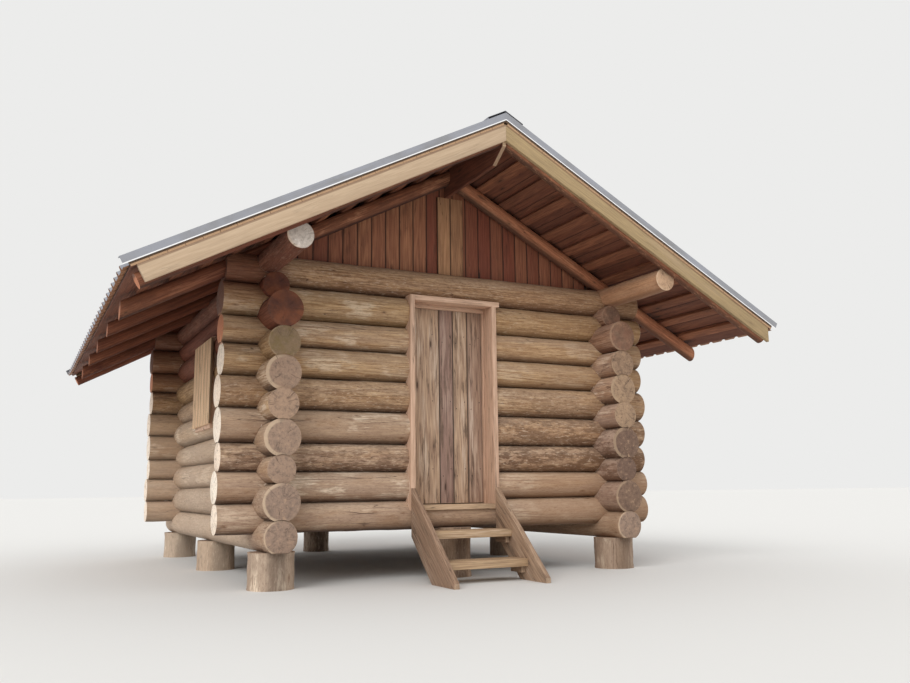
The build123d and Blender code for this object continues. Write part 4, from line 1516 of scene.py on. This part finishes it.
@dataclass
class Studio:
    """Floor, light and the camera at the photograph's place."""

    place: tuple[float, float, float] = (-3.909, -9.928, 0.833)
    yaw: float = 26.981
    pitch: float = 9.682
    roll: float = -0.708
    focal_px: float = 866.235
    width_px: float = 910.0
    sensor: float = 36.0
    clip: float = 200.0
    floor_size: float = 400.0
    floor_shade: Colour = (222, 221, 218)
    sky_shade: Colour = (236, 236, 235)
    sky_light: float = 0.92
    sun_light: float = 1.5
    sun_angle: float = 38.0
    sun_from: tuple[float, float, float] = (-0.75, -0.65, 0.7)

    def camera(self) -> None:
        """Set the camera where the photograph was taken from."""
        yaw, pitch, roll = (math.radians(angle) for angle in (self.yaw, self.pitch, self.roll))
        ahead = Vector((math.sin(yaw) * math.cos(pitch), math.cos(yaw) * math.cos(pitch), math.sin(pitch)))
        level = Vector((math.cos(yaw), -math.sin(yaw), 0.0))
        upright = level.cross(ahead)
        right = math.cos(roll) * level + math.sin(roll) * upright
        up = -math.sin(roll) * level + math.cos(roll) * upright
        data = bpy.data.cameras.new("photo_view")
        data.sensor_fit = "HORIZONTAL"
        data.sensor_width = self.sensor
        data.lens = self.focal_px / self.width_px * self.sensor
        data.clip_end = self.clip
        camera = bpy.data.objects.new("photo_view", data)
        turn = Matrix((right, up, -ahead)).transposed().to_4x4()
        camera.matrix_world = Matrix.Translation(self.place) @ turn
        bpy.context.scene.collection.objects.link(camera)
        bpy.context.scene.camera = camera

    def floor(self) -> None:
        """Lay the plain pale floor."""
        clear_selection()
        bpy.ops.mesh.primitive_plane_add(size=self.floor_size, location=(0, 0, 0))
        floor = bpy.context.object
        floor.name = "studio_floor"
        floor.data.materials.append(Graph("studio_floor").finish(self.floor_shade, 0.9))

    def lights(self) -> None:
        """Set a plain soft light, and a pale sky that the camera sees."""
        world = bpy.data.worlds.new("studio")
        bpy.context.scene.world = world
        world.use_nodes = True
        nodes, link = world.node_tree.nodes, world.node_tree.links.new
        nodes.clear()
        soft, seen = nodes.new("ShaderNodeBackground"), nodes.new("ShaderNodeBackground")
        for sky, colour, strength in ((soft, (255, 255, 255), self.sky_light), (seen, self.sky_shade, 1.0)):
            sky.inputs["Color"].default_value = linear(colour)
            sky.inputs["Strength"].default_value = strength
        path = nodes.new("ShaderNodeLightPath")
        either = nodes.new("ShaderNodeMath")
        either.operation = "MAXIMUM"
        link(path.outputs["Is Camera Ray"], either.inputs[0])
        link(path.outputs["Is Glossy Ray"], either.inputs[1])
        mix = nodes.new("ShaderNodeMixShader")
        for index, source in enumerate((either, soft, seen)):
            link(source.outputs[0], mix.inputs[index])
        link(mix.outputs[0], nodes.new("ShaderNodeOutputWorld").inputs["Surface"])
        data = bpy.data.lights.new("soft_key", "SUN")
        data.energy = self.sun_light
        data.angle = math.radians(self.sun_angle)
        lamp = bpy.data.objects.new("soft_key", data)
        lamp.matrix_world = Vector(self.sun_from).to_track_quat("Z", "Y").to_matrix().to_4x4()
        bpy.context.scene.collection.objects.link(lamp)

    def build(self) -> None:
        """Set up the studio."""
        self.camera()
        self.floor()
        self.lights()
        bpy.context.scene.view_settings.view_transform = "Standard"


def finishes() -> dict[str, bpy.types.Material]:
    """Make every finish once.

    Returns:
        The materials by name.
    """
    made = {
        "log": PeeledLog("peeled_log"),
        "log_right": PeeledLog(
            "peeled_log_right", light=(206, 168, 136), dark=(142, 108, 84), grey=(174, 150, 136),
            brown=(136, 98, 70), bleached=(232, 212, 190), end_light=(178, 148, 118), end_dark=(106, 80, 68),
            end_sheltered_and_shaded=(146, 88, 62), rim=(176, 150, 122),
        ),
        "log_cross": PeeledLog(
            "peeled_log_cross", end_light=(255, 242, 224), end_dark=(255, 230, 206), rim=(255, 242, 222)
        ),
        # Left plate log: darker copy as painted shade under the left eave
        "plate": PeeledLog(
            "plate_log", light=(184, 138, 102), dark=(126, 84, 58), seam_shade_and_dirt=(112, 74, 52),
            end_light=(226, 216, 208), end_dark=(200, 188, 176),
        ),
        # Right plate log: lighter copy as painted light under the right eave
        "plate_right": PeeledLog(
            "plate_log_right", light=(236, 190, 150), dark=(186, 138, 102), grey=(214, 178, 148),
            seam_shade_and_dirt=(176, 130, 98), end_light=(222, 190, 158), end_dark=(196, 156, 122),
        ),
        "stump": PeeledLog("stump_log", light=(186, 162, 136), dark=(118, 92, 70), grey=(160, 138, 118)),
        # Right rafter poles: lighter copy as painted light on the lit underside of the right eave
        "rafter_right": PeeledLog(
            "rafter_pole_right_lit", light=(202, 132, 92), dark=(138, 84, 58), grey=(170, 110, 78),
            brown=(160, 92, 60), low=(170, 110, 78), bleached=(220, 160, 120), bark=(104, 60, 42),
            end_light=(226, 190, 150), end_dark=(196, 156, 118),
        ),
        # Left rafter poles: darker copy as painted shade under the left eave
        "rafter": PeeledLog(
            "rafter_pole", light=(158, 98, 64), dark=(98, 56, 38), grey=(126, 78, 54), brown=(120, 66, 42),
            bleached=(186, 128, 94), bark=(84, 46, 34), seam_shade_and_dirt=(80, 44, 32), low=(140, 84, 60),
            end_light=(246, 222, 188), end_dark=(222, 190, 154), rim=(250, 230, 200),
        ),
        "floor": SawnBoard("floor_board", (176, 144, 110), (132, 100, 72), (150, 116, 84)),
        "plank": SawnBoard("frame_plank", (226, 190, 164), (188, 152, 126), (204, 166, 140), spread=0.4),
        "threshold": SawnBoard(
            "threshold_plank", (214, 186, 156), (176, 144, 112), (196, 166, 134), spread=0.4
        ),
        "door": SawnBoard(
            "door_board", (206, 176, 146), (150, 120, 98), (152, 120, 110), spread=0.9, bleach=0.9,
            joint=0.004, dirt=0.8,
        ),
        "shutter": SawnBoard(
            "shutter_board", (252, 218, 178), (212, 170, 130), (228, 190, 150), spread=0.5, joint=0.004
        ),
        # Roof boarding darker than the battens: partly painted shade between the battens and painted light on
        # them, partly the wood's own colour
        "under_roof": SawnBoard(
            "under_roof_board", (144, 90, 64), (96, 56, 42), (112, 66, 50), joint=0.003, end=(196, 158, 122)
        ),
        "batten": SawnBoard(
            "batten_board", (172, 112, 78), (112, 66, 46), (112, 66, 46), spread=0.9, end=(200, 160, 122)
        ),
        "ridge": SawnBoard("ridge_plank", (124, 72, 50), (80, 44, 32), (92, 50, 36), end=(216, 186, 152)),
        # Rake strip dark as painted shade under the flashing's edge
        "rake": SawnBoard("rake_strip", (120, 96, 74), (84, 64, 48), (104, 82, 62)),
        "fascia": SawnBoard(
            "fascia_board", (200, 175, 146), (182, 156, 128), (174, 148, 106), spread=0.9, knots=0.25,
            top_shadow_band=0.013, dirt=0.1, checks=0.15,
        ),
        "gable": SawnBoard(
            "gable_board", (184, 128, 92), (132, 82, 58), (138, 70, 51), spread=0.95, joint=0.0045, knots=1.0
        ),
        "cover": SawnBoard(
            "cover_board", (204, 156, 114), (156, 112, 80), (162, 112, 80), spread=0.8, joint=0.004
        ),
        "step": SawnBoard(
            "step_plank", (200, 172, 144), (146, 118, 94), (126, 90, 70), spread=0.8, bleach=0.6, dirt=0.6
        ),
        "tread": SawnBoard("step_tread", (206, 176, 140), (156, 126, 96), (178, 148, 116), bleach=0.4),
        "sheet": RoofMetal("roof_sheet", under=(150, 104, 72)),
        "cap": RoofMetal("ridge_cap"),
        "flashing": RoofMetal("edge_flashing", hem_highlight=(0.0335, 0.0425)),
        "screw": ForgedIron("roof_screw", base=(120, 120, 124), rust=(104, 92, 82)),
        "iron": ForgedIron("hinge_iron"),
    }
    return {name: finish.build() for name, finish in made.items()}


def main() -> None:
    """Build the studio and every sub-assembly."""
    logging.basicConfig(level=logging.INFO, format="%(message)s")
    Studio().build()
    wood = finishes()
    for part in (LogWork, Piers, Floor, Doorway, Windows, Roof, Gables, Steps):
        assembly = part(wood)
        assembly.build()
        notes.info("%s: %d pieces", part.__name__, len(assembly.made))
    clear_selection()


if __name__ == "__main__":
    main()
